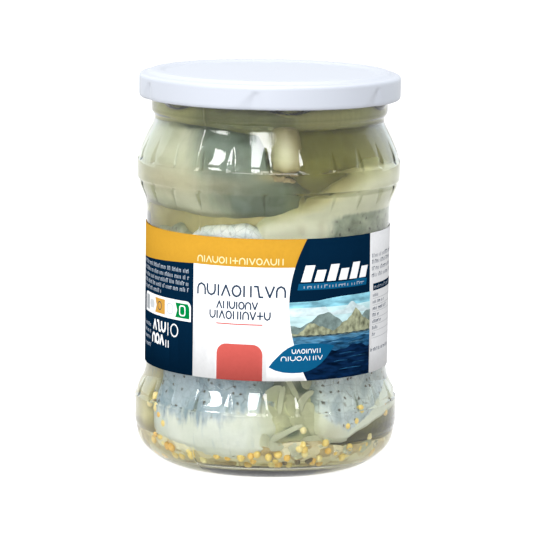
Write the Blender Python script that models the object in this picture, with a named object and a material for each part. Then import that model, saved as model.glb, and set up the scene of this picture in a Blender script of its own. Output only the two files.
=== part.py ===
"""Rollmops in a shut glass jar: the jar, its lacquered metal lid, its paper wrap and the food inside.

Lengths are in millimetres here and become metres when a mesh is made. The jar stands on z = 0
with its axis on +Z, and the front of its label faces -Y. An angle is measured round +Z from -Y
towards +X.
"""

import math

import bpy
import numpy as np

# Driving sizes, in millimetres and degrees
MM = 0.001
LID_RADIUS = 42.5
LID_WALL = 0.55
LABEL_BOTTOM = 32.7
LABEL_TOP = 78.3
LABEL_GAP = 0.10
LABEL_THICKNESS = 0.20
LABEL_LAP_DEG = 7.5
GROOVES = 24
GROOVE_PHASE_DEG = -1.5
GROOVE_HALF_DEG = 2.3
GROOVE_DEPTH = 1.0
FOOD_CLEARANCE = 0.4
FISH_SET_BACK = 0.9
ONION_SET_BACK = 0.4
SEED_RADIUS = 1.25

# The jar's wall as (radius, height), from under the base up the outside and down the inside.
# The three grooved stretches are made apart and fit in at the gaps that the names tell.
UNDERSIDE = [(26.0, 1.1), (29.6, 0.35), (30.6, 0.0), (32.4, 0.0)]
HEEL = [(34.6, 0.9), (36.4, 1.95), (38.0, 3.2), (39.6, 4.6), (41.0, 6.3), (42.0, 8.5),
        (42.5, 12.2), (42.86, 12.9)]
LOWER_BAND_TOP = (42.88, 21.7)
LOWER_GROOVES = [(42.45, 23.7, 0.85), (41.1, 26.1, 0.55), (39.95, 28.5, 0.0)]
WAIST = [(39.5, 31.0), (39.62, 83.6)]
UPPER_GROOVES_BELOW = [(40.15, 86.3, 0.0), (41.25, 88.8, 0.55), (42.2, 91.1, 0.85)]
UPPER_BAND = [(42.84, 93.1), (42.87, 99.3)]
UPPER_GROOVES_ABOVE = [(42.1, 101.9, 0.85), (40.8, 104.5, 0.55), (39.5, 107.2, 0.0)]
NECK = [(38.2, 110.0), (37.55, 111.6), (37.4, 113.0), (37.75, 114.1), (38.35, 115.0),
        (38.45, 116.0), (38.45, 119.2), (39.2, 120.4), (39.2, 125.6), (38.8, 126.6), (37.7, 127.2)]
INSIDE = [(36.4, 126.9), (35.7, 125.9), (35.6, 119.0), (34.9, 113.0), (35.5, 110.2),
          (37.4, 106.0), (39.3, 102.2), (40.0, 99.3), (40.05, 93.3), (39.3, 90.6), (37.3, 86.6),
          (36.75, 83.6), (36.6, 31.0), (37.1, 28.8), (38.7, 25.6), (39.85, 22.0), (40.0, 14.0),
          (39.5, 10.6), (38.0, 7.8), (35.0, 5.7), (29.0, 4.9)]
UNDERSIDE_CENTRE = 1.9
FLOOR_CENTRE = 6.0


def material(name, colour, roughness, transmission=0.0, metallic=0.0):
    made = bpy.data.materials.new(name)
    made.use_nodes = True
    shader = made.node_tree.nodes["Principled BSDF"]
    shader.inputs["Base Color"].default_value = (*colour, 1.0)
    shader.inputs["Roughness"].default_value = roughness
    shader.inputs["Transmission Weight"].default_value = transmission
    shader.inputs["Metallic"].default_value = metallic
    return made


def add_object(name, points, faces, made_of, smooth=True):
    mesh = bpy.data.meshes.new(name)
    scaled = [tuple(value * MM for value in point) for point in points]
    mesh.from_pydata(scaled, [], faces)
    if smooth:
        mesh.polygons.foreach_set("use_smooth", [True] * len(mesh.polygons))
        mesh.set_sharp_from_angle(angle=math.radians(35))
    mesh.materials.append(made_of)
    mesh.update()
    made = bpy.data.objects.new(name, mesh)
    bpy.context.scene.collection.objects.link(made)
    return made


def at(angle_deg, radius, z):
    angle = math.radians(angle_deg)
    return (radius * math.sin(angle), -radius * math.cos(angle), z)


class Rings:
    """A closed skin sewn from rings of points that follow a profile line from axis to axis."""

    def __init__(self):
        self.points = []
        self.angles = []
        self.faces = []
        self.last = None

    def point(self, angle_deg, radius, z):
        self.points.append(at(angle_deg, radius, z))
        self.angles.append(angle_deg)
        return len(self.points) - 1

    def add(self, ring):
        if self.last is not None:
            self.sew(self.last, ring)
        self.last = ring

    def centre(self, z):
        self.add([self.point(0.0, 0.0, z)])

    def sew(self, a, b):
        """Triangles between two rings, taking the next point of whichever ring is behind."""
        i = j = 0
        na = len(a) if len(a) > 1 else 0
        nb = len(b) if len(b) > 1 else 0
        while i < na or j < nb:
            next_a = self.angle_of(a, i + 1) if i < na else math.inf
            next_b = self.angle_of(b, j + 1) if j < nb else math.inf
            if next_a <= next_b + 1e-6:
                face = (a[i % len(a)], a[(i + 1) % len(a)], b[j % len(b)])
                i += 1
            else:
                face = (a[i % len(a)], b[(j + 1) % len(b)], b[j % len(b)])
                j += 1
            if len(set(face)) == 3:
                self.faces.append(face)

    def angle_of(self, ring, index):
        turns, place = divmod(index, len(ring))
        return self.angles[ring[place]] + 360.0 * turns


def plain_ring(rings, radius, z):
    """Two points a groove's pitch: one on the groove's line and one half way to the next."""
    pitch = 360.0 / GROOVES
    ring = []
    for k in range(GROOVES):
        middle = GROOVE_PHASE_DEG + pitch * k
        ring += [rings.point(middle, radius, z), rings.point(middle + pitch / 2, radius, z)]
    return ring


def grooved_ring(rings, radius, z, share):
    """The same with a groove's two edges, its middle set in by a share of the full depth."""
    pitch = 360.0 / GROOVES
    half = GROOVE_HALF_DEG * share
    ring = []
    for k in range(GROOVES):
        middle = GROOVE_PHASE_DEG + pitch * k
        ring += [
            rings.point(middle - half, radius, z),
            rings.point(middle, radius - GROOVE_DEPTH * share, z),
            rings.point(middle + half, radius, z),
            rings.point(middle + pitch / 2, radius, z),
        ]
    return ring


def without_groove_floor(ring):
    """A grooved ring without the set-in points, so that the groove ends in a small flat ledge."""
    return [index for place, index in enumerate(ring) if place % 4 != 1]


def add_stretch(rings, rows):
    for radius, z, share in rows:
        if share:
            rings.add(grooved_ring(rings, radius, z, share))
        else:
            rings.add(plain_ring(rings, radius, z))


def build_glass():
    """Clear glass, blown: bands and grooves on the outside, smooth inside, open at the mouth."""
    rings = Rings()
    rings.centre(UNDERSIDE_CENTRE)
    for radius, z in UNDERSIDE + HEEL:
        rings.add(plain_ring(rings, radius, z))

    ledge = grooved_ring(rings, *LOWER_BAND_TOP, 1.0)
    rings.add(without_groove_floor(ledge))
    rings.add(ledge)
    add_stretch(rings, LOWER_GROOVES)

    for radius, z in WAIST:
        rings.add(plain_ring(rings, radius, z))
    add_stretch(rings, UPPER_GROOVES_BELOW)

    ledge = grooved_ring(rings, *UPPER_BAND[0], 1.0)
    rings.add(ledge)
    rings.add(without_groove_floor(ledge))
    ledge = grooved_ring(rings, *UPPER_BAND[1], 1.0)
    rings.add(without_groove_floor(ledge))
    rings.add(ledge)
    add_stretch(rings, UPPER_GROOVES_ABOVE)

    for radius, z in NECK + INSIDE:
        rings.add(plain_ring(rings, radius, z))
    rings.centre(FLOOR_CENTRE)
    glass = material("clear_glass", (0.93, 0.97, 0.96), 0.03, transmission=1.0)
    return add_object("jar_glass", rings.points, rings.faces, glass)


def build_lid():
    """Pressed sheet lid: raised ring round a sunk panel, straight skirt, rolled edge."""
    r = LID_RADIUS
    w = LID_WALL
    under = [(33.0, 127.0), (34.8, 127.65), (38.3, 127.65), (39.7, 127.0), (r - w - 0.8, 126.8),
             (r - w, 126.0), (r - w, 121.3), (r - 1.9, 121.1), (r - 2.1, 120.0),
             (r - 1.2, 119.3)]
    over = [(r - 0.3, 119.7), (r, 120.4), (r, 126.3), (r - 0.3, 127.05), (r - 1.0, 127.45),
            (40.1, 127.6), (39.4, 128.0), (38.6, 128.2), (35.2, 128.2), (34.3, 127.95),
            (33.5, 127.55)]
    rings = Rings()
    rings.centre(127.0)
    for radius, z in under + over:
        rings.add(plain_ring(rings, radius, z))
    rings.centre(127.55)
    lacquer = material("white_lacquered_steel", (0.86, 0.88, 0.93), 0.25)
    return add_object("lid", rings.points, rings.faces, lacquer)


def build_label():
    """One paper wrap round the waist, its ends lapped at the back."""
    paper = material("label_paper", (0.9, 0.9, 0.88), 0.45)
    start = 180.0 - LABEL_LAP_DEG + 1.5
    pitch = 180.0 / GROOVES
    angles = [start]
    step = math.ceil((start - GROOVE_PHASE_DEG) / pitch)
    while GROOVE_PHASE_DEG + pitch * step < start + 360.0 + LABEL_LAP_DEG - 0.5:
        if GROOVE_PHASE_DEG + pitch * step > start + 0.5:
            angles.append(GROOVE_PHASE_DEG + pitch * step)
        step += 1
    angles.append(start + 360.0 + LABEL_LAP_DEG)
    points = []
    for angle in angles:
        # The last turn of the wrap climbs over its own start
        climb = min(max((angle - (start + 350.0)) / 8.0, 0.0), 1.0) * (LABEL_THICKNESS + 0.12)
        for z in (LABEL_BOTTOM, LABEL_TOP):
            along = (z - WAIST[0][1]) / (WAIST[1][1] - WAIST[0][1])
            glass = WAIST[0][0] + (WAIST[1][0] - WAIST[0][0]) * along
            inner = glass + LABEL_GAP + climb
            points.append(at(angle, inner, z))
            points.append(at(angle, inner + LABEL_THICKNESS, z))
    # Each step holds: inner low, outer low, inner high, outer high
    faces = [(0, 1, 3, 2)]
    for k in range(len(angles) - 1):
        a = 4 * k
        b = a + 4
        faces += [(a + 1, b + 1, b + 3, a + 3), (b, a, a + 2, b + 2),
                  (a, b, b + 1, a + 1), (a + 3, b + 3, b + 2, a + 2)]
    end = 4 * (len(angles) - 1)
    faces.append((end + 1, end, end + 2, end + 3))
    return add_object("label", points, faces, paper)


def inside_radius(z):
    """The jar's inner radius at a height, the least within 3 mm, less the food's clearance."""
    profile = sorted((height, radius) for radius, height in INSIDE)
    heights = [height for height, radius in profile]
    radii = [radius for height, radius in profile]
    near = [np.interp(z + step, heights, radii) for step in (-3.0, -1.5, 0.0, 1.5, 3.0)]
    return min(near) * math.cos(math.pi / (2 * GROOVES)) - FOOD_CLEARANCE


def pressed(x, y, z, set_back):
    """A point of food, pushed in where the glass would stop it."""
    radius = math.hypot(x, y)
    limit = inside_radius(z) - set_back
    if radius > limit:
        x *= limit / radius
        y *= limit / radius
    return (x, y, z)


def rolled_fillet(angle_deg, out, bottom, top, radius, seam_deg, lean=(0.0, 0.0), tip=0.0):
    """A fillet rolled up, standing: its outline is one turn of a spiral with the lap as a step."""
    centre_x, centre_y, _ = at(angle_deg, out, 0.0)
    sides = 18
    rows = [(0.0, 0.80), (0.05, 0.93), (0.17, 1.0), (0.38, 1.02), (0.62, 1.02), (0.83, 1.0),
            (0.95, 0.94), (1.0, 0.80)]
    points = []
    for share, scale in rows:
        for k in range(sides):
            turn = k / (sides - 1)
            angle = math.radians(seam_deg) + 2 * math.pi * turn * (sides - 1) / sides
            lap = 1.0 - 0.12 * (1.0 - turn)
            wave = 1.0 + 0.02 * math.sin(3 * angle + 5 * share)
            reach = radius * scale * lap * wave
            slope = tip * math.cos(angle) * (share - 0.5) * 2.0
            z = bottom + (top - bottom) * share + slope
            x = centre_x + reach * math.cos(angle) + lean[0] * (share - 0.5)
            y = centre_y + reach * math.sin(angle) + lean[1] * (share - 0.5)
            points.append(pressed(x, y, z, FISH_SET_BACK))
    faces = []
    for row in range(len(rows) - 1):
        for k in range(sides):
            a = row * sides + k
            b = row * sides + (k + 1) % sides
            faces += [(a, b, b + sides), (a, b + sides, a + sides)]
    for row, depth, flip in ((0, 3.0, True), (len(rows) - 1, -3.0, False)):
        ring = [row * sides + k for k in range(sides)]
        middle = np.mean([points[index] for index in ring], axis=0)
        points.append((float(middle[0]), float(middle[1]), float(middle[2]) + depth))
        tip_index = len(points) - 1
        for k in range(sides):
            a, b = ring[k], ring[(k + 1) % sides]
            faces.append((b, a, tip_index) if flip else (a, b, tip_index))
    return points, faces


def onion_strip(start, end, bow, width, thick):
    """A strip cut from an onion ring, lying on the food near the glass. start and end are
    (angle, height), and bow lifts its middle."""
    steps = 6
    points = []
    for k in range(steps + 1):
        share = k / steps
        angle = start[0] + (end[0] - start[0]) * share
        z = start[1] + (end[1] - start[1]) * share + bow * math.sin(math.pi * share)
        across = width * (0.55 + 0.45 * math.sin(math.pi * (0.1 + 0.8 * share)))
        direction = math.atan2(end[1] - start[1], (end[0] - start[0]) * 0.68)
        side_angle = -math.sin(direction) * across / 2 / 0.68
        side_z = math.cos(direction) * across / 2
        outer = inside_radius(z) - ONION_SET_BACK
        for sign, depth in ((-1, 0.0), (1, 0.0), (1, thick), (-1, thick)):
            points.append(at(angle + sign * side_angle, outer - depth, z + sign * side_z))
    points = [pressed(*point, ONION_SET_BACK) for point in points]
    faces = [(3, 2, 1, 0)]
    for k in range(steps):
        a = 4 * k
        for side in range(4):
            b = a + (side + 1) % 4
            faces.append((a + side, b, b + 4, a + side + 4))
    end_at = 4 * steps
    faces.append((end_at, end_at + 1, end_at + 2, end_at + 3))
    return points, faces


def seed_ball(x, y, z, radius):
    """A mustard seed as a ball of 20 faces."""
    golden = (1 + math.sqrt(5)) / 2
    corners = [(-1, golden, 0), (1, golden, 0), (-1, -golden, 0), (1, -golden, 0),
               (0, -1, golden), (0, 1, golden), (0, -1, -golden), (0, 1, -golden),
               (golden, 0, -1), (golden, 0, 1), (-golden, 0, -1), (-golden, 0, 1)]
    scale = radius / math.hypot(1, golden)
    points = [(x + a * scale, y + b * scale, z + c * scale) for a, b, c in corners]
    faces = [(0, 11, 5), (0, 5, 1), (0, 1, 7), (0, 7, 10), (0, 10, 11), (1, 5, 9), (5, 11, 4),
             (11, 10, 2), (10, 7, 6), (7, 1, 8), (3, 9, 4), (3, 4, 2), (3, 2, 6), (3, 6, 8),
             (3, 8, 9), (4, 9, 5), (2, 4, 11), (6, 2, 10), (8, 6, 7), (9, 8, 1)]
    return points, faces


def food_core():
    """What is hidden in the middle: a column that widens to a bed of seeds at the bottom."""
    rings = Rings()
    rings.centre(6.6)
    rows = [(24.0, 6.7), (31.0, 6.9), (34.2, 8.2), (36.0, 10.0), (36.6, 12.6), (33.0, 14.6),
            (27.0, 17.0), (27.0, 30.0), (28.5, 57.0), (26.0, 80.0), (20.0, 92.0), (10.0, 98.0)]
    sides = 24
    for radius, z in rows:
        ring = []
        for k in range(sides):
            bump = 1.0 + 0.03 * math.sin(2.4 * k * (1 + 0.11 * z)) if z > 15 else 1.0
            ring.append(rings.point(360.0 * k / sides, radius * bump, z))
        rings.add(ring)
    rings.centre(99.5)
    return rings.points, rings.faces


FILLETS = [
    # angle, distance out, bottom, top, radius, seam, lean, tip
    dict(angle_deg=-42.0, out=21.0, bottom=10.0, top=56.0, radius=21.5, seam_deg=-40.0,
         lean=(-1.5, 1.0), tip=-1.0),
    dict(angle_deg=58.0, out=20.5, bottom=14.5, top=57.0, radius=21.0, seam_deg=-95.0,
         lean=(2.0, 0.0), tip=3.5),
    dict(angle_deg=178.0, out=20.0, bottom=9.0, top=56.0, radius=21.5, seam_deg=60.0,
         lean=(1.0, 1.0), tip=1.5),
    dict(angle_deg=-62.0, out=19.0, bottom=58.0, top=110.5, radius=20.5, seam_deg=-20.0,
         lean=(3.0, -2.0), tip=-1.0),
    dict(angle_deg=62.0, out=20.0, bottom=58.5, top=96.5, radius=21.5, seam_deg=-120.0,
         lean=(-2.0, -1.0), tip=4.0),
    dict(angle_deg=172.0, out=19.0, bottom=58.0, top=106.5, radius=20.5, seam_deg=80.0,
         lean=(0.0, -3.0), tip=2.0),
    dict(angle_deg=-4.0, out=13.0, bottom=60.0, top=107.5, radius=17.5, seam_deg=-70.0,
         lean=(1.0, 2.0), tip=1.0),
]

STRIPS = [
    # (angle, height) of both ends, bow, width, thickness
    ((-3.0, 14.0), (15.0, 18.6), 0.8, 3.0, 6.0),
    ((3.0, 19.5), (9.0, 31.0), 0.0, 3.4, 7.0),
    ((11.0, 18.0), (15.5, 29.0), 0.5, 3.2, 7.0),
    ((19.0, 14.5), (31.0, 22.0), 1.2, 3.4, 6.0),
    ((12.0, 11.5), (15.0, 15.0), 0.0, 3.6, 6.0),
    ((-20.0, 12.0), (-4.0, 10.5), 1.0, 2.8, 5.0),
    ((100.0, 14.0), (116.0, 22.0), 1.5, 3.2, 6.0),
    ((108.0, 24.0), (124.0, 18.0), -1.0, 3.0, 6.0),
    ((-112.0, 15.0), (-98.0, 24.0), 1.0, 3.2, 6.0),
    ((-118.0, 24.0), (-104.0, 13.0), 0.8, 3.0, 6.0),
]


def seed_places():
    """(angle, height) of the seeds: two uneven rows, one above the other, round the bed."""
    draw = np.random.default_rng(7)
    places = []
    for k in range(46):
        places.append((360.0 * k / 46 + draw.uniform(-2.6, 2.6), 8.4 + draw.uniform(-0.9, 0.9)))
    for k in range(22):
        places.append((360.0 * k / 22 + draw.uniform(-5, 5), 11.4 + draw.uniform(-0.7, 0.9)))
    return places


def build_rollmops():
    """Rolled herring fillets with onion strips and mustard seeds, as one heap."""
    flesh = material("marinated_fish", (0.62, 0.62, 0.5), 0.35)
    parts = bpy.data.collections.new("food_parts")
    bpy.context.scene.collection.children.link(parts)
    shapes = [rolled_fillet(**fillet) for fillet in FILLETS]
    shapes += [onion_strip(*strip) for strip in STRIPS]
    for angle, z in seed_places():
        radius = inside_radius(z) - SEED_RADIUS
        x, y, _ = at(angle, radius, z)
        shapes.append(seed_ball(x, y, z, SEED_RADIUS))
    for number, (points, faces) in enumerate(shapes):
        part = add_object(f"food_part_{number:02d}", points, faces, flesh)
        bpy.context.scene.collection.objects.unlink(part)
        parts.objects.link(part)
        part.hide_render = True
    heap = add_object("rollmops", *food_core(), flesh)
    join = heap.modifiers.new("join", "BOOLEAN")
    join.operation = "UNION"
    join.operand_type = "COLLECTION"
    join.collection = parts
    join.solver = "EXACT"
    bpy.context.view_layer.update()
    evaluated = heap.evaluated_get(bpy.context.evaluated_depsgraph_get())
    whole = bpy.data.meshes.new_from_object(evaluated)
    heap.modifiers.clear()
    heap.data = whole
    for part in list(parts.objects):
        bpy.data.objects.remove(part, do_unlink=True)
    bpy.data.collections.remove(parts)
    return heap


def clear_scene():
    for existing in list(bpy.data.objects):
        bpy.data.objects.remove(existing, do_unlink=True)


clear_scene()
build_glass()
build_lid()
build_label()
build_rollmops()
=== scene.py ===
"""A shut jar of rollmops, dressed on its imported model, with the label's front on -Y.

Sizes are in millimetres and in degrees round the jar, and MM turns them into the frame's metres.
"""

import math

import bpy
import numpy as np
from mathutils import Matrix, Vector, noise
from mathutils.geometry import delaunay_2d_cdt


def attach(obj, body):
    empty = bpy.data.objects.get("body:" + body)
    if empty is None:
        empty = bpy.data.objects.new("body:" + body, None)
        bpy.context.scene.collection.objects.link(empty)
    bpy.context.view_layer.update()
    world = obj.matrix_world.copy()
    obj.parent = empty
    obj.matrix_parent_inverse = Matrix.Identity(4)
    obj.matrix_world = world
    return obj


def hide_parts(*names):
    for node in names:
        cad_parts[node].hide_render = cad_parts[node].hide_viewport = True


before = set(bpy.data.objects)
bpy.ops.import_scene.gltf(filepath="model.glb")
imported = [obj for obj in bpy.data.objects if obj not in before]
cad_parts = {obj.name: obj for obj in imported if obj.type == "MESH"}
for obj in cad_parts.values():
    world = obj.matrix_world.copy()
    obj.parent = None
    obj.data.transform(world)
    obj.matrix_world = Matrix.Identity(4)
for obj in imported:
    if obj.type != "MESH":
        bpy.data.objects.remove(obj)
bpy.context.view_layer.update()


# The jar: one piece of clear blown glass. Its sides hold two bands with rows of short mould
# grooves above and below them, a waist for the label, a rounded heel and a ring to stand on.
# The mouth's six screw ridges reach a little below the lid, and two mould seams run up the sides.

MM = 0.001
GROOVES = 24
GROOVE_PITCH = 360.0 / GROOVES
GROOVE_PHASE = -1.5
GROOVE_HALF = 2.5
GROOVE_DEEP = 0.62

# Lines of the glass as (radius, height), from under the foot up the outside, then down the inside
jar_under = [(0.0, 1.9), (14.0, 1.7), (26.0, 1.1), (29.6, 0.35), (30.6, 0.0), (32.4, 0.0)]
jar_heel = [(32.4, 0.0), (34.6, 0.9), (36.4, 1.95), (38.0, 3.2), (39.6, 4.6), (41.0, 6.3),
            (41.85, 8.2), (42.3, 10.2), (42.5, 12.2)]
jar_low_band = [(42.74, 12.7), (42.85, 13.3), (42.85, 21.4), (42.81, 21.6), (42.7, 21.75)]
jar_low_slope = [(42.7, 21.75), (42.5, 22.0), (42.0, 24.0), (41.0, 26.1), (39.95, 28.5), (39.5, 31.0),
                 (39.56, 57.0), (39.62, 83.6), (40.15, 86.3), (41.15, 88.8), (42.0, 91.0),
                 (42.42, 92.75), (42.6, 92.95)]
jar_band = [(42.6, 92.95), (42.78, 93.15), (42.84, 93.4), (42.85, 96.0), (42.85, 99.0), (42.8, 99.25),
            (42.66, 99.4)]
jar_shoulder = [(42.66, 99.4), (42.48, 99.65), (41.9, 101.9), (40.85, 104.5), (39.65, 107.2), (38.25, 110.0),
                (37.6, 111.4), (37.4, 113.0), (37.6, 113.9), (38.2, 114.6), (38.45, 115.4),
                (38.45, 120.4), (39.2, 121.6), (39.2, 125.6), (38.8, 126.6), (37.7, 127.2)]
jar_inside = [(37.7, 127.2), (36.4, 126.9), (35.7, 125.9), (35.6, 119.0), (34.9, 113.0),
              (35.5, 110.2), (37.4, 106.0), (39.3, 102.2), (40.0, 99.3), (40.05, 93.3),
              (39.3, 90.6), (37.3, 86.6), (36.75, 83.6), (36.68, 57.0), (36.6, 31.0),
              (37.1, 28.8), (38.7, 25.6), (39.85, 22.0), (40.0, 14.0), (39.85, 11.5),
              (39.2, 8.9), (37.9, 6.7), (35.6, 5.3), (30.0, 4.7), (12.0, 5.6), (0.0, 5.9)]


def chord_mean(p, q, r, first, second, onward=False):
    """The slope at q between p and r, scaled to the stretch that it is used on."""
    along = (q - p) / first * second / (first + second) + (r - q) / second * first / (first + second)
    return along * (first if onward else second)


def eased_line(corners, spacing):
    """Points at about the given spacing on a smooth line through the corners."""
    found = []
    for k in range(len(corners) - 1):
        before = corners[max(k - 1, 0)]
        a, b = corners[k], corners[k + 1]
        after = corners[min(k + 2, len(corners) - 1)]
        length = math.dist(a, b)
        back = max(math.dist(before, a), 1e-6)
        ahead = max(math.dist(b, after), 1e-6)
        count = max(1, round(length / spacing))
        for i in range(count):
            s = i / count
            point = []
            for axis in (0, 1):
                slope_a = slope_b = b[axis] - a[axis]
                most = 3.0 * abs(slope_a)   # steeper than this, the line would swing past its corners
                if k > 0:
                    slope_a = chord_mean(before[axis], a[axis], b[axis], back, length)
                if k < len(corners) - 2:
                    slope_b = chord_mean(a[axis], b[axis], after[axis], length, ahead, True)
                slope_a, slope_b = min(max(slope_a, -most), most), min(max(slope_b, -most), most)
                point.append((2 * s**3 - 3 * s**2 + 1) * a[axis] + (s**3 - 2 * s**2 + s) * slope_a
                             + (3 * s**2 - 2 * s**3) * b[axis] + (s**3 - s**2) * slope_b)
            found.append(tuple(point))
    found.append(corners[-1])
    return found


def turn(degrees, radius, z):
    """A point at an angle round the jar, with 0 at the front and 90 at the right."""
    a = math.radians(degrees)
    return (radius * math.sin(a), -radius * math.cos(a), z)


def degrees_from(middle, angles):
    """Angles counted from a middle, between -180 and 180."""
    return (angles - middle + 180.0) % 360.0 - 180.0


def ring_of_points(angles, reach, z):
    """One level ring of points in metres. The reach is one radius, or one for each angle."""
    a = np.radians(angles)
    return np.stack([reach * np.sin(a), -reach * np.cos(a), np.full(len(a), z)], axis=1) * MM


def skin_of_rings(name, grid, sharp=30.0):
    """A mesh from rings of points (metres), one after another; a ring of radius 0 becomes a tip."""
    rows, columns = grid.shape[:2]
    points, index = [], np.zeros((rows, columns), int)
    for i in range(rows):
        if np.ptp(grid[i, :, :2], axis=0).max() < 1e-9:
            index[i, :] = len(points)
            points.append(tuple(grid[i, 0]))
        else:
            index[i, :] = len(points) + np.arange(columns)
            points.extend(map(tuple, grid[i]))
    faces = []
    for i in range(rows - 1):
        low, high = index[i], index[i + 1]
        tip_low, tip_high = low[0] == low[1], high[0] == high[1]
        for j in range(columns):
            n = (j + 1) % columns
            if tip_low:
                faces.append((low[j], high[n], high[j]))
            elif tip_high:
                faces.append((low[j], low[n], high[j]))
            else:
                faces.append((low[j], low[n], high[n], high[j]))
    return piece_from(name, points, faces, sharp)


def piece_from(name, points, faces, sharp=30.0):
    """A smooth piece whose edges look sharp where they bend by more than an angle."""
    mesh = bpy.data.meshes.new(name)
    mesh.from_pydata([tuple(map(float, p)) for p in points], [], [tuple(map(int, f)) for f in faces])
    mesh.polygons.foreach_set("use_smooth", [True] * len(mesh.polygons))
    mesh.set_sharp_from_angle(angle=math.radians(sharp))
    mesh.update()
    made = bpy.data.objects.new(name, mesh)
    bpy.context.scene.collection.objects.link(made)
    return made


def finish_of(name):
    """A material, with its shader node and its node tree."""
    made = bpy.data.materials.new(name)
    made.use_nodes = True
    return made, made.node_tree.nodes["Principled BSDF"], made.node_tree


def add_node(tree, kind, **values):
    """A new node, with values for its own settings or for its sockets."""
    node = tree.nodes.new(kind)
    for key, value in values.items():
        if hasattr(node, key):
            setattr(node, key, value)
        else:
            node.inputs[key.replace("_", " ")].default_value = value
    return node


def set_sockets(node, **values):
    """Sets sockets by their names, with _ for a space."""
    for key, value in values.items():
        node.inputs[key.replace("_", " ")].default_value = value


# Angles of the columns within one groove's pitch, close together across the groove
groove_columns = [-5.6, -4.2, -3.2, -2.6, -2.2, -1.7, -1.1, -0.5, 0.0, 0.5, 1.1, 1.7, 2.2, 2.6,
                  3.2, 4.2, 5.6, 7.5]
SEAM_RISE = 0.16
SEAM_WIDTH = 0.28
seam_angles = (-33.0, 147.0)
seam_columns = (-0.7, -0.4, -0.2, 0.0, 0.2, 0.4, 0.7)
jar_angles = np.array(sorted(
    [GROOVE_PHASE + GROOVE_PITCH * k + a for k in range(GROOVES) for a in groove_columns]
    + [(seam + a + 3.0) % 360.0 - 3.0 for seam in seam_angles for a in seam_columns]))
RIDGE_RISE = 0.75
RIDGE_HALF = 16.0
RIDGE_FOOT = 116.6
ridge_middles = [9.5 + 60.0 * k for k in range(6)]
groove_rows = ((99.3, 107.6), (93.1, 86.2), (21.7, 28.9))   # heights at the band and at the tips


def groove_share(z):
    """How wide and deep the grooves are at a height, from 0 at their tips to 1 at a band."""
    for band, tip in groove_rows:
        share = (tip - z) / (tip - band)
        if 0.0 < share <= 1.0:
            return share ** 0.8 * min(1.0, 0.2 + abs(z - band) / 1.1)
    return 0.0


def jar_outside_ring(radius, z):
    """One ring of the outside, with grooves pressed in, and seams and screw ridges raised."""
    off = (jar_angles - GROOVE_PHASE + GROOVE_PITCH / 2) % GROOVE_PITCH - GROOVE_PITCH / 2
    share = groove_share(z)
    reach = np.full(len(jar_angles), radius)
    if share > 0:
        across = np.clip(1.0 - np.abs(off) / (GROOVE_HALF * share + 0.05), 0.0, 1.0)
        reach = reach - GROOVE_DEEP * share * (1.0 - (1.0 - across) ** 1.25)
    if 1.5 < z < 119.0:
        for seam in seam_angles:
            apart = degrees_from(seam, jar_angles)
            reach = reach + SEAM_RISE * np.exp(-((apart / SEAM_WIDTH) ** 2))
    if 114.5 < z < 123.0:
        for middle in ridge_middles:
            apart = degrees_from(middle, jar_angles)
            lower_edge = RIDGE_FOOT + 2.6 * (apart / 12.0) ** 2
            rise = np.clip((z - lower_edge) / 2.0, 0.0, 1.0)
            reach = reach + RIDGE_RISE * rise * rise * (3 - 2 * rise) * (np.abs(apart) < RIDGE_HALF)
    return ring_of_points(jar_angles, reach, z)


# Painted shade in two lines round the neck
neck_lines = ((0.5, 113.6, 0.6), (0.3, 116.0, 0.5))   # how dark, the height, and how broad


def groove_shade(z):
    """Painted shade on the glass at a height: on one flank of each groove, in two lines round the
    neck, and on the ledge under the upper band, where the real glass looks dark."""
    number = np.floor((jar_angles - GROOVE_PHASE + GROOVE_PITCH / 2) / GROOVE_PITCH)
    off = jar_angles - GROOVE_PHASE - number * GROOVE_PITCH
    share = groove_share(z)
    signed = degrees_from(0.0, jar_angles)
    shade = np.zeros(len(jar_angles))
    if share > 0:
        side = np.where((z > 96.0) | ((signed > 0.0) & (signed < 45.0)), 1.0, -1.0)
        from_flank = np.abs(off * side / (GROOVE_HALF * share + 0.05) - 0.5)
        flank = np.clip(1.5 - from_flank / 0.33, 0.0, 1.0)
        shade = flank * (0.55 + 0.45 * np.sin(2.3 * number + z * 0.02)) * min(1.0, 2.0 * share)
    for dark, height, broad in neck_lines:
        shade = shade + dark * math.exp(-((z - height) / broad) ** 2)
    if 92.2 < z < 93.3:
        shade = np.maximum(shade, 0.8 * np.clip((signed - 8.0) / 16.0, 0.0, 1.0) * (signed < 110.0))
    return shade


outside_line = (eased_line(jar_under, 2.5)[:-1] + eased_line(jar_heel, 0.7)
                + eased_line(jar_low_band, 1.8)[:-1] + eased_line(jar_low_slope, 0.62)[:-1]
                + eased_line(jar_band, 2.0)[:-1] + eased_line(jar_shoulder, 0.55)[:-1])
# The straight waist needs few rings
outside_line = [p for k, p in enumerate(outside_line) if not (31.5 < p[1] < 83.0 and k % 6)]
inside_line = eased_line(jar_inside, 1.4)
jar_rings = [jar_outside_ring(r, z) for r, z in outside_line]
jar_rings += [ring_of_points(jar_angles, r, z) for r, z in inside_line]
jar = skin_of_rings("glass_jar", np.array(jar_rings), sharp=24.0)

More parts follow.
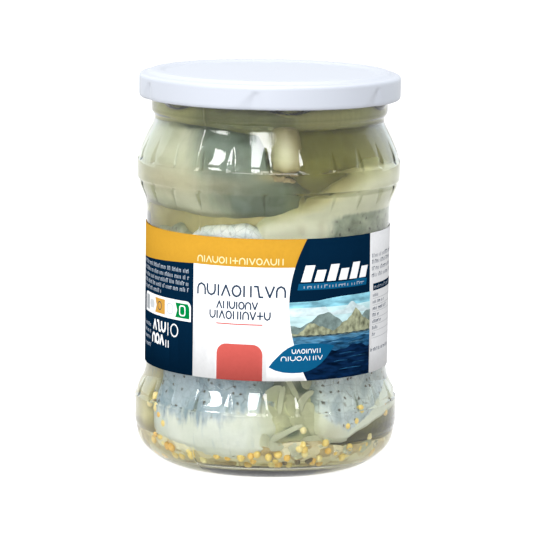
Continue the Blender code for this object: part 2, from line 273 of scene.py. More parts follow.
GLASS_IOR = 1.5
BRINE_IOR = 1.34
clear_glass, shader, tree = finish_of("clear_jar_glass")
set_sockets(shader, Base_Color=(1.0, 1.0, 1.0, 1.0), Roughness=0.0, IOR=GLASS_IOR, Transmission_Weight=1.0)
tint = add_node(tree, "ShaderNodeVolumeAbsorption")
tint.inputs["Color"].default_value = (0.83, 0.92, 0.72, 1.0)
tint.inputs["Density"].default_value = 34.0
tree.links.new(tint.outputs["Volume"], tree.nodes["Material Output"].inputs["Volume"])
ripple = add_node(tree, "ShaderNodeTexNoise")
set_sockets(ripple, Scale=90.0, Detail=1.0)
dent = add_node(tree, "ShaderNodeBump")
set_sockets(dent, Strength=0.06, Distance=0.001)
place = add_node(tree, "ShaderNodeTexCoord")
fine_ripple = add_node(tree, "ShaderNodeTexNoise")
set_sockets(fine_ripple, Scale=2600.0, Detail=1.0)
ripples = add_node(tree, "ShaderNodeMath", operation="MULTIPLY_ADD")
height = add_node(tree, "ShaderNodeSeparateXYZ")
# The mould leaves the glass finely rippled from the top of the shoulder up
RIPPLED_FROM, RIPPLED_FULLY = 0.1068, 0.1100   # metres up the jar
rougher = add_node(tree, "ShaderNodeMapRange")
set_sockets(rougher, From_Min=RIPPLED_FROM, From_Max=RIPPLED_FULLY, To_Min=0.04, To_Max=0.65)
tree.links.new(place.outputs["Object"], height.inputs["Vector"])
tree.links.new(height.outputs["Z"], rougher.inputs["Value"])
tree.links.new(rougher.outputs["Result"], ripples.inputs[1])
tree.links.new(place.outputs["Object"], ripple.inputs["Vector"])
tree.links.new(place.outputs["Object"], fine_ripple.inputs["Vector"])
tree.links.new(fine_ripple.outputs["Fac"], ripples.inputs[0])
tree.links.new(ripple.outputs["Fac"], ripples.inputs[2])
tree.links.new(ripples.outputs["Value"], dent.inputs["Height"])
tree.links.new(dent.outputs["Normal"], shader.inputs["Normal"])

# Painted shade: the glass turns olive on one flank of each groove, in two lines round the neck and on the
# ledge under the upper band
flank = add_node(tree, "ShaderNodeAttribute", attribute_name="flank")
flank_tone = add_node(tree, "ShaderNodeMixRGB")
flank_tone.inputs["Color1"].default_value = (1.0, 1.0, 1.0, 1.0)
flank_tone.inputs["Color2"].default_value = (0.38, 0.40, 0.26, 1.0)
tree.links.new(flank.outputs["Fac"], flank_tone.inputs["Fac"])
tree.links.new(flank_tone.outputs["Color"], shader.inputs["Base Color"])
shades = np.zeros(len(jar.data.vertices))
for row, (radius, z) in enumerate(outside_line[1:]):
    first = 1 + row * len(jar_angles)
    shades[first:first + len(jar_angles)] = groove_shade(z)
jar.data.attributes.new("flank", "FLOAT", "POINT").data.foreach_set("value", shades)

# Below the brine the wall's inside is wet: light bends there only by glass against brine
WET_BELOW = 120.3
wet = add_node(tree, "ShaderNodeAttribute", attribute_name="wet")
bend = add_node(tree, "ShaderNodeMath", operation="MULTIPLY_ADD")
bend.inputs[1].default_value = GLASS_IOR / BRINE_IOR - GLASS_IOR
bend.inputs[2].default_value = GLASS_IOR
tree.links.new(wet.outputs["Fac"], bend.inputs[0])
tree.links.new(bend.outputs["Value"], shader.inputs["IOR"])
first_inside = 1 + (len(outside_line) - 1) * len(jar_angles)
wet_faces = [float(min(face.vertices) >= first_inside and face.center.z < WET_BELOW * MM)
             for face in jar.data.polygons]
jar.data.attributes.new("wet", "FLOAT", "FACE").data.foreach_set("value", wet_faces)

# Small plain rings stand raised on the heel, three at the front and three at the back
MARK_RADIUS = 1.05
MARK_THICK = 0.26
mark_places = ((33.0, 8.6), (40.5, 8.7), (58.5, 9.4), (213.0, 8.6), (220.5, 8.7), (238.5, 9.4))


def mould_ring(angle, z):
    """Points and faces of one raised ring, tilted as the heel is."""
    heel_heights = [h for r, h in jar_heel]
    heel_radii = [r for r, h in jar_heel]
    out = float(np.interp(z, heel_heights, heel_radii))
    lean = math.atan2(float(np.interp(z + 0.5, heel_heights, heel_radii)) - out, 0.5)
    sides, around = 28, 8
    points, faces = [], []
    for i in range(sides):
        a = 2 * math.pi * i / sides
        for j in range(around):
            t = 2 * math.pi * j / around
            r = MARK_RADIUS + MARK_THICK * math.cos(t)
            lift = MARK_THICK * math.sin(t)
            up = r * math.sin(a)
            reach = out + up * math.sin(lean) + lift * math.cos(lean)
            place = turn(angle + math.degrees(r * math.cos(a) / out), reach,
                         z + up * math.cos(lean) - lift * math.sin(lean))
            points.append(tuple(v * MM for v in place))
            n, m = (i + 1) % sides, (j + 1) % around
            faces.append((i * around + j, n * around + j, n * around + m, i * around + m))
    return points, faces


def joined(name, shapes, sharp=60.0):
    """One piece from many small shapes."""
    points, faces = [], []
    for shape_points, shape_faces in shapes:
        first = len(points)
        points.extend(shape_points)
        faces.extend(tuple(i + first for i in face) for face in shape_faces)
    return piece_from(name, points, faces, sharp)


marks = joined("mould_marks", [mould_ring(angle, z) for angle, z in mark_places])
for piece in (jar, marks):
    piece.data.materials.append(clear_glass)
    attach(piece, "root")
    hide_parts("jar_glass")


# The lid: thin steel sheet pressed to a twist lid and lacquered white. A raised ring runs round
# a slightly sunk panel, the skirt is straight, and its rolled edge is pinched in at six lugs.

lid_under = [(0.0, 126.85), (33.6, 126.9), (34.3, 127.15), (35.2, 127.6), (38.2, 127.62), (39.2, 127.2),
             (40.1, 126.8), (41.1, 126.6), (41.85, 125.9), (41.95, 121.3)]
lid_curl = [(41.95, 121.3), (40.9, 121.25), (40.35, 120.6), (40.4, 119.9), (40.9, 119.4),
            (41.6, 119.3), (42.2, 119.6), (42.48, 120.3)]
lid_over = [(42.48, 120.3), (42.5, 123.0), (42.5, 125.8), (42.38, 126.45), (42.0, 126.9), (41.4, 127.1),
            (40.4, 127.2), (39.9, 127.35), (39.3, 127.75), (38.7, 128.06), (37.8, 128.17), (36.6, 128.18),
            (35.8, 128.08), (35.1, 127.8), (34.5, 127.52), (33.8, 127.42), (20.0, 127.38), (0.0, 127.38)]
lid_angles = np.arange(0.0, 360.0, 1.25)
LUG_HALF = 8.5
LUG_DEEP = 0.65
LUG_FOOT = 119.5
lug_middles = [-8.0 + 60.0 * k for k in range(6)]


def lid_ring(radius, z, outer):
    """One ring of the lid. Outside, the skirt is pinched in at each lug, deepest near its edge."""
    reach = np.full(len(lid_angles), radius)
    if outer and 119.2 < z < 125.5:
        for middle in lug_middles:
            apart = degrees_from(middle, lid_angles)
            width = LUG_HALF * (1.0 - (z - LUG_FOOT) / 6.2)
            if width > 0:
                pinch = np.clip(1.0 - np.abs(apart - 0.4 * (z - LUG_FOOT)) / width, 0.0, 1.0)
                reach = reach - LUG_DEEP * pinch ** 1.4
    return ring_of_points(lid_angles, reach, z)


# The points of the lid's line, each with whether it lies outside
lid_line = ([(p, False) for p in eased_line(lid_under, 0.8)[:-1]]
            + [(p, k > 6) for k, p in enumerate(eased_line(lid_curl, 0.25)[:-1])]
            + [(p, True) for p in eased_line(lid_over, 0.35)])
# The flat middle needs few rings
lid_line = [(p, outer) for k, (p, outer) in enumerate(lid_line) if not (1 < p[0] < 31 and k % 10)]
lid = skin_of_rings("twist_lid", np.array([lid_ring(*p, outer) for p, outer in lid_line]), sharp=60.0)

white_lacquer, shader, tree = finish_of("white_lid_lacquer")
set_sockets(shader, Base_Color=(0.322, 0.338, 0.374, 1.0), Roughness=0.46)
place = add_node(tree, "ShaderNodeTexCoord")
peel = add_node(tree, "ShaderNodeTexNoise")
set_sockets(peel, Scale=700.0, Detail=2.0)
dent = add_node(tree, "ShaderNodeBump")
set_sockets(dent, Strength=0.03, Distance=0.0002)
tree.links.new(place.outputs["Object"], peel.inputs["Vector"])
tree.links.new(peel.outputs["Fac"], dent.inputs["Height"])
tree.links.new(dent.outputs["Normal"], shader.inputs["Normal"])
lid.data.materials.append(white_lacquer)
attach(lid, "root")
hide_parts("lid")


# The label: one strip of satin paper glued round the waist, its ends lapped at the back. It is
# printed in flat fields: a navy panel, a yellow band, a white middle with a coral block, a sea
# picture with a leaf-shaped plate, and a white back panel with ruled rows.

LABEL_LOW, LABEL_HIGH = 32.7, 78.3
LABEL_START, LABEL_END = -186.0, 181.5
DEGREE_MM = 0.695   # millimetres of the label to one degree

print_colours = {
    "paper": (0.58, 0.58, 0.58),
    # The back panel's white is greyer than the front paper as painted shade, for the side that turns away
    # from the lamps
    "panel": (0.485, 0.485, 0.49),
    "navy": (0.0008, 0.0092, 0.0245),
    "yellow": (0.352, 0.186, 0.0185),
    "coral": (0.366, 0.066, 0.055),
    "leaf": (0.0026, 0.058, 0.130),
    "pale": (0.24, 0.27, 0.31),
    "cream": (0.56, 0.47, 0.26),
    "ink": (0.016, 0.030, 0.055),
    "ochre": (0.38, 0.20, 0.035),
    "green": (0.0, 0.13, 0.030),
    "grey": (0.24, 0.25, 0.26),
    "sky": (0.16, 0.36, 0.43),
    "haze": (0.33, 0.46, 0.47),
    "cloud": (0.37, 0.45, 0.46),
    "far_hill": (0.115, 0.155, 0.145),
    "near_hill": (0.185, 0.195, 0.125),
    "shore": (0.035, 0.055, 0.060),
    "sea": (0.010, 0.050, 0.105),
    "deep": (0.0016, 0.009, 0.030),
    "swell": (0.045, 0.13, 0.21),
    "soft_grey": (0.36, 0.37, 0.38),
}

printed = []   # (colour, outline in degrees and millimetres), later ones on top


def print_shape(colour, outline):
    """Adds one field or stroke of a single colour to the print."""
    printed.append((colour, outline))


def print_bar(colour, left, right, low, high):
    """Adds an upright bar to the print."""
    print_shape(colour, [(left, low), (right, low), (right, high), (left, high)])


def rounded_bar(left, right, low, high, radius, corners=(True, True, True, True)):
    """Outline of a bar with rounded corners, given lower left, lower right, upper right, upper left."""
    per_mm = 1 / DEGREE_MM
    found = []
    for (x, z, sx, sz, from_deg), rounded in zip(
            ((left, low, 1, 1, 180), (right, low, -1, 1, 270), (right, high, -1, -1, 0),
             (left, high, 1, -1, 90)), corners):
        if not rounded:
            found.append((x, z))
            continue
        cx, cz = x + sx * radius * per_mm, z + sz * radius
        for k in range(7):
            a = math.radians(from_deg + 15 * k)
            found.append((cx + radius * per_mm * math.cos(a), cz + radius * math.sin(a)))
    return found


def tick_rows(colour, left, right, rows, tall, seed, stroke=0.42, pitch=0.95):
    """Rows of close upright ticks in groups. Each row has its height and the angle that it ends at."""
    draw = np.random.default_rng(seed)
    for z, stop in rows:
        x, until_gap = left, int(draw.integers(2, 8))
        while x < min(stop, right) - stroke:
            low, high = z - tall / 2, z + tall / 2 * draw.choice((0.55, 0.55, 1.0))
            print_bar(colour, x, x + stroke, low, high)
            if draw.uniform() < 0.4:
                print_bar(colour, x, x + pitch, high - 0.25, high)
            x += pitch
            until_gap -= 1
            if until_gap == 0:
                x, until_gap = x + 0.9, int(draw.integers(2, 8))


ring_turns = [math.pi * k / 6 for k in range(13)]
mark_lines = {   # plain drawn marks, in a box one unit wide and high
    "arch": [[(0, 0), (0, 0.55), (0.14, 0.85), (0.5, 1), (0.86, 0.85), (1, 0.55), (1, 0)]],
    "cup": [[(0, 1), (0, 0.45), (0.14, 0.15), (0.5, 0), (0.86, 0.15), (1, 0.45), (1, 1)]],
    "ring": [[(0.5 + 0.5 * math.cos(a), 0.5 + 0.5 * math.sin(a)) for a in ring_turns]],
    "bar": [[(0.5, 0), (0.5, 1)]],
    "bars": [[(0.1, 0), (0.1, 1)], [(0.9, 0), (0.9, 1)]],
    "peak": [[(0, 0), (0.5, 1), (1, 0)]],
    "dip": [[(0, 1), (0.5, 0), (1, 1)]],
    "cross": [[(0.5, 0), (0.5, 1)], [(0, 0.5), (1, 0.5)]],
    "step": [[(0, 1), (0.4, 1), (0.6, 0), (1, 0)]],
}


def mark_row(colour, names, left, right, low, high, stroke):
    """A row of plain drawn marks between two angles, all of one height and weight."""
    widths = [0.25 if name == "bar" else 1.0 for name in names]
    gap = 0.30
    unit = (right - left) / (sum(widths) + gap * (len(names) - 1))
    x = left
    for name, width in zip(names, widths):
        for line in mark_lines[name]:
            for (ax, az), (bx, bz) in zip(line, line[1:]):
                start = Vector(((x + ax * width * unit) * DEGREE_MM, low + az * (high - low)))
                end = Vector(((x + bx * width * unit) * DEGREE_MM, low + bz * (high - low)))
                along = (end - start).normalized() * stroke / 2
                side = Vector((-along.y, along.x))
                corners = (start - along * 0.5 - side, end + along * 0.5 - side,
                           end + along * 0.5 + side, start - along * 0.5 + side)
                print_shape(colour, [(corner.x / DEGREE_MM, corner.y) for corner in corners])
        x += (width + gap) * unit


FIELD_LEFT = 10.3
FIELD_MIDDLE = 57.5


def field_edge(z):
    """The left edge of the picture's field, a long bow."""
    return FIELD_LEFT + (0.0185 if z > FIELD_MIDDLE else 0.0146) * (z - FIELD_MIDDLE) ** 2


# The fields, from the back's left side round the front to the back's right side
heights = [LABEL_LOW + (LABEL_HIGH - LABEL_LOW) * k / 40 for k in range(41)]
PANEL_END = LABEL_END - 1.0
print_bar("navy", -118.0, -36.0, LABEL_LOW, 69.2)
print_shape("yellow", [(-118.0, 66.6), (-80.0, 67.5), (-36.0, 69.2), (22.0, 69.2), (22.0, LABEL_HIGH),
                       (-118.0, LABEL_HIGH)])
print_shape("navy", [(field_edge(z), z) for z in heights] + [(55.4, LABEL_HIGH), (56.6, LABEL_LOW)])
print_shape("panel", [(56.6, LABEL_LOW), (PANEL_END, LABEL_LOW), (PANEL_END, LABEL_HIGH), (55.4, LABEL_HIGH)])

# The left of the back: rows of ticks, a white strip with small fields, and rows of marks
tick_rows("pale", -112.0, -39.0, [(66.3, -39), (64.2, -39), (62.2, -39), (60.2, -39), (58.2, -58)], 1.35, 3)
print_shape("paper", rounded_bar(-79.0, -37.3, 50.0, 56.5, 1.9, (False, False, True, True)))
print_bar("grey", -77.5, -72.0, 50.8, 55.6)
print_shape("soft_grey", rounded_bar(-71.0, -65.5, 51.8, 54.6, 1.2))
print_shape("ochre", [(-64.6, 50.8), (-55.2, 50.8), (-55.2, 55.7), (-64.6, 55.7), (-63.2, 53.2)])
print_shape("soft_grey", rounded_bar(-53.6, -48.8, 51.4, 55.0, 1.1))
print_shape("paper", rounded_bar(-52.9, -49.5, 51.8, 54.6, 0.9))
mark_row("ink", ["ring"], -61.8, -58.2, 52.0, 54.6, 0.3)
print_shape("green", [(-47.2, 50.8), (-38.2, 50.8), (-38.2, 54.4), (-39.2, 55.6), (-47.2, 55.6),
                      (-46.0, 53.2)])
print_shape("paper", rounded_bar(-44.6, -40.6, 51.5, 55.0, 0.9))
print_shape("green", rounded_bar(-44.0, -41.2, 51.9, 54.6, 0.7))
mark_row("paper", ["peak", "step", "cup"], -66.4, -54.8, 45.2, 48.2, 0.8)
mark_row("paper", ["bar", "ring"], -53.2, -45.4, 44.4, 48.4, 0.42)
mark_row("paper", ["arch", "ring", "peak"], -67.6, -56.2, 40.9, 43.8, 0.8)
mark_row("paper", ["bars"], -54.4, -52.0, 40.4, 42.6, 0.42)
tick_rows("pale", -112.0, -69.6, [(46.0, -70), (43.9, -70), (41.8, -71), (39.4, -70)], 1.2, 5)

# The front: rows of marks on the yellow band and on the white, and the coral block
mark_row("cream", ["arch", "bar", "peak", "cup", "ring", "bars", "cross", "arch", "bar", "dip", "ring",
                   "peak", "cup", "bars"], -33.6, 7.4, 70.1, 72.0, 0.34)
mark_row("ink", ["arch", "cup", "bar", "peak", "ring", "bars", "step", "dip", "arch"],
         -33.4, 8.4, 59.7, 63.1, 0.60)
mark_row("ink", ["peak", "bars", "cup", "bar", "ring", "arch", "dip"], -23.4, -4.2, 55.7, 57.9, 0.48)
mark_row("ink", ["cup", "bar", "peak", "ring", "bars", "bar", "arch", "dip", "cross", "cup"],
         -26.8, 1.6, 52.4, 54.8, 0.48)
print_bar("coral", -23.6, -1.8, 50.55, 50.95)
print_shape("coral", rounded_bar(-23.3, -1.6, LABEL_LOW, 44.4, 3.3, (False, False, True, True)))


# A made-up sea view: low round islands, a lighter water line and long swells
def picture_top(angle):
    """The height that the picture reaches, which rises to the right."""
    return 56.4 + 2.9 * math.sin(min(max((angle - FIELD_LEFT) / 30.0, 0.0), 1.0) * math.pi / 2)


def picture_shape(colour, top, low, left=FIELD_LEFT, right=56.5, steps=34):
    """A field of the picture from a bottom height up to a line, cut at the picture's left bow."""
    found = []
    for k in range(steps + 1):
        angle = left + (right - left) * k / steps
        found.append((angle, max(min(top(angle), picture_top(angle)), low + 0.05)))
    inside = [(max(angle, field_edge(z)), z) for angle, z in found]
    right_edge = 56.6 - 0.026 * (low - LABEL_LOW)
    left_line = [(field_edge(z), z) for z in np.linspace(inside[0][1], low, 9)[1:]]
    print_shape(colour, inside[::-1] + left_line + [(right_edge, low)])


picture_shape("haze", picture_top, 47.0)
picture_shape("sky", lambda a: 59.3, 56.2, left=24.0)
picture_shape("cloud", lambda a: 55.6 + 1.2 * math.sin(a / 3.1) + 0.5 * math.sin(a / 1.3), 53.4, left=28.0)
picture_shape("far_hill", lambda a: (50.4 + 3.2 * math.sin((a - 12.0) / 10.0) ** 2
                                     + 0.8 * math.sin(a / 3.7) + 0.25 * math.sin(a * 1.1)), 46.8)
picture_shape("near_hill", lambda a: (47.4 + 3.6 * math.exp(-((a - 22.0) / 6.0) ** 2)
                                      + 7.2 * math.exp(-(abs(a - 46.0) / 9.0) ** 1.4)
                                      + 0.4 * math.sin(a / 1.4) + 0.2 * math.sin(a * 1.7)), 46.6)
picture_shape("shore", lambda a: 47.3 + 0.12 * math.sin(a * 1.3), 46.5)
picture_shape("swell", lambda a: 46.75 + 0.1 * math.sin(a * 0.9), 40.0)
picture_shape("sea", lambda a: (45.6 - 3.2 * math.exp(-((a - 16.0) / 9.0) ** 2)
                                + 0.3 * math.sin(a / 1.9)), 38.5)
picture_shape("deep", lambda a: (42.6 + 0.7 * math.sin(a / 3.4 + 0.6)
                                 + 0.25 * math.sin(a * 0.9)), LABEL_LOW + 0.05)
swells = ((30, 38, 44.6), (41, 52, 43.9), (36, 46, 40.6), (40, 54, 39.2), (33, 41, 38.3), (44, 53, 37.2),
          (36, 50, 35.6))   # left and right end, and height
for left, right, z in swells:
    crest = [(left + (right - left) * s / 10, z + 0.32 * math.sin(math.pi * s / 10)) for s in range(11)]
    trough = [(left + (right - left) * s / 10, z + 0.08 * math.sin(math.pi * s / 10) - 0.06)
              for s in range(10, -1, -1)]
    print_shape("swell" if z > 43 else "sea", crest + trough)

# Over the picture: slanted bars on a blue bar, and the leaf-shaped plate with two rows of marks
for k in range(6):
    low, high = 64.5, 69.8 if k % 2 == 0 else 68.2
    left = 15.6 + 6.4 * k
    lean = 0.42 * (high - low)
    print_shape("paper", [(left, low), (left + 4.7, low), (left + 4.7 + lean, high), (left + lean, high)])
print_shape("leaf", [(14.0, 61.9), (52.8, 61.9), (53.4, 64.0), (48.0, 64.5), (43.0, 64.0), (14.6, 64.0)])
tick_rows("pale", 17.0, 50.0, [(62.9, 50.0)], 1.0, 32, pitch=1.7)
leaf_upper = [(1.2, 37.2), (3.0, 38.9), (5.0, 40.4), (7.5, 42.1), (10.0, 43.4), (13.0, 44.3), (16.5, 44.7),
              (20.0, 44.75), (24.0, 44.6), (28.0, 44.25), (31.0, 43.9), (33.2, 43.5)]
leaf_lower = [(31.0, 41.6), (29.0, 39.9), (26.5, 38.2), (23.5, 36.8), (20.0, 35.8), (16.0, 35.3),
              (12.0, 35.25), (8.0, 35.5), (4.5, 36.1)]
print_shape("leaf", leaf_upper + leaf_lower)
mark_row("paper", ["cup", "peak", "ring", "bar", "arch", "dip", "bars"], 12.0, 25.8, 41.6, 42.9, 0.24)
mark_row("paper", ["arch", "bar", "cup", "ring", "peak", "bars", "bar", "dip"], 7.0, 26.8, 39.3, 40.6, 0.24)

# The right of the back: rows of ticks, then a ruled panel under a navy bar
print_bar("navy", 59.0, 124.0, 59.3, 61.6)
tick_rows("ink", 57.6, 124.0, [(70.8, 124), (68.8, 124), (66.6, 124), (64.4, 104)], 1.3, 41, pitch=1.3)
tick_rows("pale", 60.0, 118.0, [(60.4, 118)], 1.1, 43, pitch=1.5)
left_column = ((57.8, 65), (55.6, 72), (53.4, 76), (51.3, 66), (49.2, 68), (47.1, 66), (45.0, 62))
right_column = ((57.8, 112), (55.6, 114), (53.4, 112), (51.3, 112), (49.2, 111), (47.1, 112), (45.0, 111))
tick_rows("ink", 59.0, 118.0, left_column, 1.1, 45)
tick_rows("ink", 104.0, 122.0, right_column, 1.1, 46)
for z in (56.7, 54.5, 52.35, 50.25, 48.15, 46.05, 43.8):
    print_bar("grey", 59.0, 124.0, z - 0.07, z + 0.07)
tick_rows("ink", 57.6, 116.0, [(40.0, 82)], 1.1, 47)

WAIST_RADIUS = 39.5
LABEL_OUT = 0.30   # from the glass to the label's outer face
LAP_START = 164.0
LAP_RISE = 0.32


def build_label():
    """Cuts the strip along every printed outline, so that each face has one colour."""
    points, edges, faces = [], [], []

    def add_outline(outline):
        """Adds one closed outline to what is cut, kept inside the strip."""
        first = len(points)
        points.extend(Vector((a, min(max(z, LABEL_LOW), LABEL_HIGH))) for a, z in outline)
        faces.append(list(range(first, first + len(outline))))

    add_outline([(LABEL_START, LABEL_LOW), (LABEL_END, LABEL_LOW), (LABEL_END, LABEL_HIGH),
                 (LABEL_START, LABEL_HIGH)])
    for colour, outline in printed:
        area = sum(a[0] * b[1] - b[0] * a[1] for a, b in zip(outline, outline[1:] + outline[:1]))
        add_outline(outline if area > 0 else outline[::-1])
    strips = 245
    for k in range(1, strips):
        angle = LABEL_START + (LABEL_END - LABEL_START) * k / strips
        first = len(points)
        points.extend([Vector((angle, LABEL_LOW)), Vector((angle, LABEL_HIGH))])
        edges.append((first, first + 1))
    cut = delaunay_2d_cdt(points, edges, faces, 1, 1e-5)
    places, cut_faces, owners = cut[0], cut[2], cut[5]
    outer = []
    for place in places:
        glass = WAIST_RADIUS + 0.12 * (place.y - 31.0) / 52.6
        climb = min(max((place.x - LAP_START) / 8.0, 0.0), 1.0) * LAP_RISE
        outer.append(Vector(turn(place.x, glass + LABEL_OUT + climb, place.y)) * MM)
    made = piece_from("paper_label", outer, cut_faces, 40.0)
    names = list(print_colours)
    for name in names:
        made.data.materials.append(label_ink(name, print_colours[name]))
    for face, owner in zip(made.data.polygons, owners):
        top = max(owner) if owner else 0
        face.material_index = 0 if top == 0 else names.index(printed[top - 1][0])
    thick = made.modifiers.new("paper", "SOLIDIFY")
    thick.thickness = 0.2 * MM
    thick.offset = -1.0
    return made


def ramp(tree, source, stops, smooth=False):
    """Colours that follow a value, from a list of positions and colours."""
    node = add_node(tree, "ShaderNodeValToRGB")
    if smooth:
        node.color_ramp.interpolation = "EASE"
    elements = node.color_ramp.elements
    for end in (0, -1):
        elements[end].position, elements[end].color = stops[end][0], (*stops[end][1], 1.0)
    for position, colour in stops[1:-1]:
        elements.new(position).color = (*colour, 1.0)
    tree.links.new(source, node.inputs["Fac"])
    return node.outputs["Color"]


# How much each of the picture's inks varies, how fine, and how much flatter than wide
pictured = {
    "sky": (0.75, 160.0, 3.0),
    "haze": (0.45, 120.0, 3.0),
    "cloud": (0.35, 300.0, 2.0),
    "far_hill": (0.6, 420.0, 1.0),
    "near_hill": (1.0, 520.0, 0.8),
    "shore": (0.9, 900.0, 1.0),
    "sea": (1.0, 330.0, 5.0),
    "deep": (1.0, 260.0, 4.0),
    "swell": (0.9, 300.0, 6.0),
}


def label_ink(name, colour):
    """Print on coated paper, its colour a little uneven, and much more so in the picture's inks."""
    made, shader, tree = finish_of("label_" + name)
    set_sockets(shader, Roughness=0.5, Specular_IOR_Level=0.0)
    amount, scale, flat = pictured.get(name, (0.04, 900.0, 1.0))
    place = add_node(tree, "ShaderNodeTexCoord")
    spread = add_node(tree, "ShaderNodeMapping")
    spread.inputs["Scale"].default_value = (1.0, 1.0, flat)
    grain = add_node(tree, "ShaderNodeTexNoise")
    set_sockets(grain, Scale=scale, Detail=5.0)
    dark, light = 1.0 - 0.62 * amount, 1.0 + 0.62 * amount
    tones = [(0.32, [value * dark for value in colour]), (0.68, [value * light for value in colour])]
    tree.links.new(place.outputs["Object"], spread.inputs["Vector"])
    tree.links.new(spread.outputs["Vector"], grain.inputs["Vector"])
    tree.links.new(ramp(tree, grain.outputs["Fac"], tones), shader.inputs["Base Color"])
    return made


label = build_label()
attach(label, "root")
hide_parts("label")


# The brine: vinegar and water, a clear olive yellow, filled to just under the lid. It reaches a
# hair into the glass wall so that no air shows between them.

BRINE_LEVEL = 120.5
brine_line = [(0.0, 5.75)]
brine_line += [(r + 0.15, z - 0.15 if z < 6.7 else z) for r, z in inside_line[::-1]
               if 0.5 < r and z < BRINE_LEVEL]
brine_line += [(35.7, BRINE_LEVEL), (0.0, BRINE_LEVEL)]
brine_angles = np.arange(0.0, 360.0, 2.5)
brine_rings = [ring_of_points(brine_angles, r, z) for r, z in brine_line]
brine = skin_of_rings("brine", np.array(brine_rings), sharp=40.0)
olive_brine, shader, tree = finish_of("olive_brine")
set_sockets(shader, Base_Color=(1.0, 1.0, 1.0, 1.0), Roughness=0.0, IOR=1.0, Transmission_Weight=1.0)
tint = add_node(tree, "ShaderNodeVolumeAbsorption")
tint.inputs["Color"].default_value = (0.66, 0.65, 0.16, 1.0)
tint.inputs["Density"].default_value = 80.0
tree.links.new(tint.outputs["Volume"], tree.nodes["Material Output"].inputs["Volume"])
brine.data.materials.append(olive_brine)
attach(brine, "root")


# The rollmops: herring fillets rolled up skin out or flesh out and packed upright in three
# layers. The glass presses their sides flat, and those that show there are made from that side.

FOOD_GAP = 0.3
wall_heights = [z for r, z in jar_inside[::-1]][2:]
wall_radii = [r for r, z in jar_inside[::-1]][2:]


def room(z):
    """How far from the axis food can be at a height, clear of the glass."""
    near = [np.interp(z + step, wall_heights, wall_radii) for step in (-1.5, 0.0, 1.5)]
    return float(min(near)) - FOOD_GAP


def press(x, y, z, set_back, soft=1.4):
    """Moves a point in from the glass, softly, so that the food lies flat against it."""
    radius = math.hypot(x, y)
    limit = room(z) - set_back
    if radius < 1e-6:
        return x, y
    over = (radius - limit) / soft
    eased = limit - soft * math.log1p(math.exp(-over)) if over > -20 else radius
    return x * eased / radius, y * eased / radius


def along_list(pairs, value):
    """A value read off a list of places and values."""
    return float(np.interp(value, [a for a, b in pairs], [b for a, b in pairs]))


def step_at(value, edge, width):
    """Rises from 0 to 1 over a width, with its middle at an edge."""
    return min(max((value - edge) / width + 0.5, 0.0), 1.0)


def closed_roll(name, rings, sharp, **layers):
    """A roll from its rings, drawn to a point at both ends, with values for its finish on its points."""
    grid = np.array(rings)
    columns = grid.shape[1]
    for end in (0, -1):
        grid[end, :, :] = grid[end].mean(axis=0)
    made = skin_of_rings(name, grid, sharp)
    for layer_name, values in layers.items():
        kind, socket = ("FLOAT_VECTOR", "vector") if layer_name == "sheet" else ("FLOAT", "value")
        whole = [values[0]] + values[columns:-columns] + [values[-1]]
        layer = made.data.attributes.new(layer_name, kind, "POINT")
        layer.data.foreach_set(socket, np.array(whole, float).ravel())
    return made


def rolled_fillet(name, middle, out, radius, seam, low, high, set_back, skin_at, wave=0.5, seed=0):
    """A standing roll whose outer end laps over. low and high give its edges by angle round the jar."""
    centre = turn(middle, out, 0.0)
    sides, rows, cap_rows = 144, 80, 14
    draw = Vector((seed * 3.1, seed * 1.7, seed * 0.9))
    skin, sheet, rings = [], [], []
    for i in range(-cap_rows, rows + cap_rows + 1):
        ring = []
        share = min(max(i / rows, 0.0), 1.0)
        depth = max(-i, i - rows, 0) / cap_rows
        edge = min(share, 1.0 - share) * 12.0
        rounding = 1.0 - 0.16 * (1.0 - min(edge, 1.0)) ** 2.2
        for k in range(sides):
            phi = 2 * math.pi * k / sides
            lap_share = ((phi - math.radians(seam)) / (2 * math.pi)) % 1.0
            lap = 1.0 - 0.13 * (1.0 - lap_share) + 0.05 * math.exp(-((1.0 - lap_share) / 0.03) ** 2)
            reach = radius * lap * rounding * max(1.0 - depth, 0.0001)
            x, y = centre[0] + reach * math.cos(phi), centre[1] + reach * math.sin(phi)
            angle = math.degrees(math.atan2(x, -y))
            bottom, top = along_list(low, angle), along_list(high, angle)
            z = bottom + (top - bottom) * share
            bump = (noise.noise(Vector((x, y, z * 0.7)) * 0.11 + draw) * 1.1
                    + noise.noise(Vector((x, y, z)) * 0.32 + draw) * 0.4
                    + noise.noise(Vector((x, y, z)) * 0.9 + draw) * 0.12)
            x += math.cos(phi) * bump * wave * 2 * (1.0 - depth)
            y += math.sin(phi) * bump * wave * 2 * (1.0 - depth)
            x, y = press(x, y, z, set_back + max(0.0, bump) * wave)
            if depth > 0:
                turns = ((1.0 - depth) * 3.0 - phi / (2 * math.pi)) % 1.0
                groove = math.exp(-((turns - 0.5) / 0.16) ** 2) * 1.6 * min(1.0, depth * 4)
                hollow = 4.0 * max(0.0, depth - 0.75)
                z += (groove + hollow) * (1 if i < 0 else -1)
            ring.append((x * MM, y * MM, z * MM))
            skin.append(skin_at(angle, z))
            sheet.append((radius * phi * 0.001, z * 0.001, 0.0))
        rings.append(ring)
    return closed_roll(name, rings, 50.0, skin=skin, sheet=sheet)


def curl(distance, reach, deep):
    """How far an edge rolls back, at a distance in from it."""
    share = min(max(distance / reach, 0.0), 1.0)
    return deep * (1.0 - math.sqrt(1.0 - (1.0 - share) ** 2))


def patch(angle, z, middle, height, wide, tall):
    """A soft round spot: 1 at its middle and 0 well outside it."""
    return math.exp(-((angle - middle) / wide) ** 2 - ((z - height) / tall) ** 2)


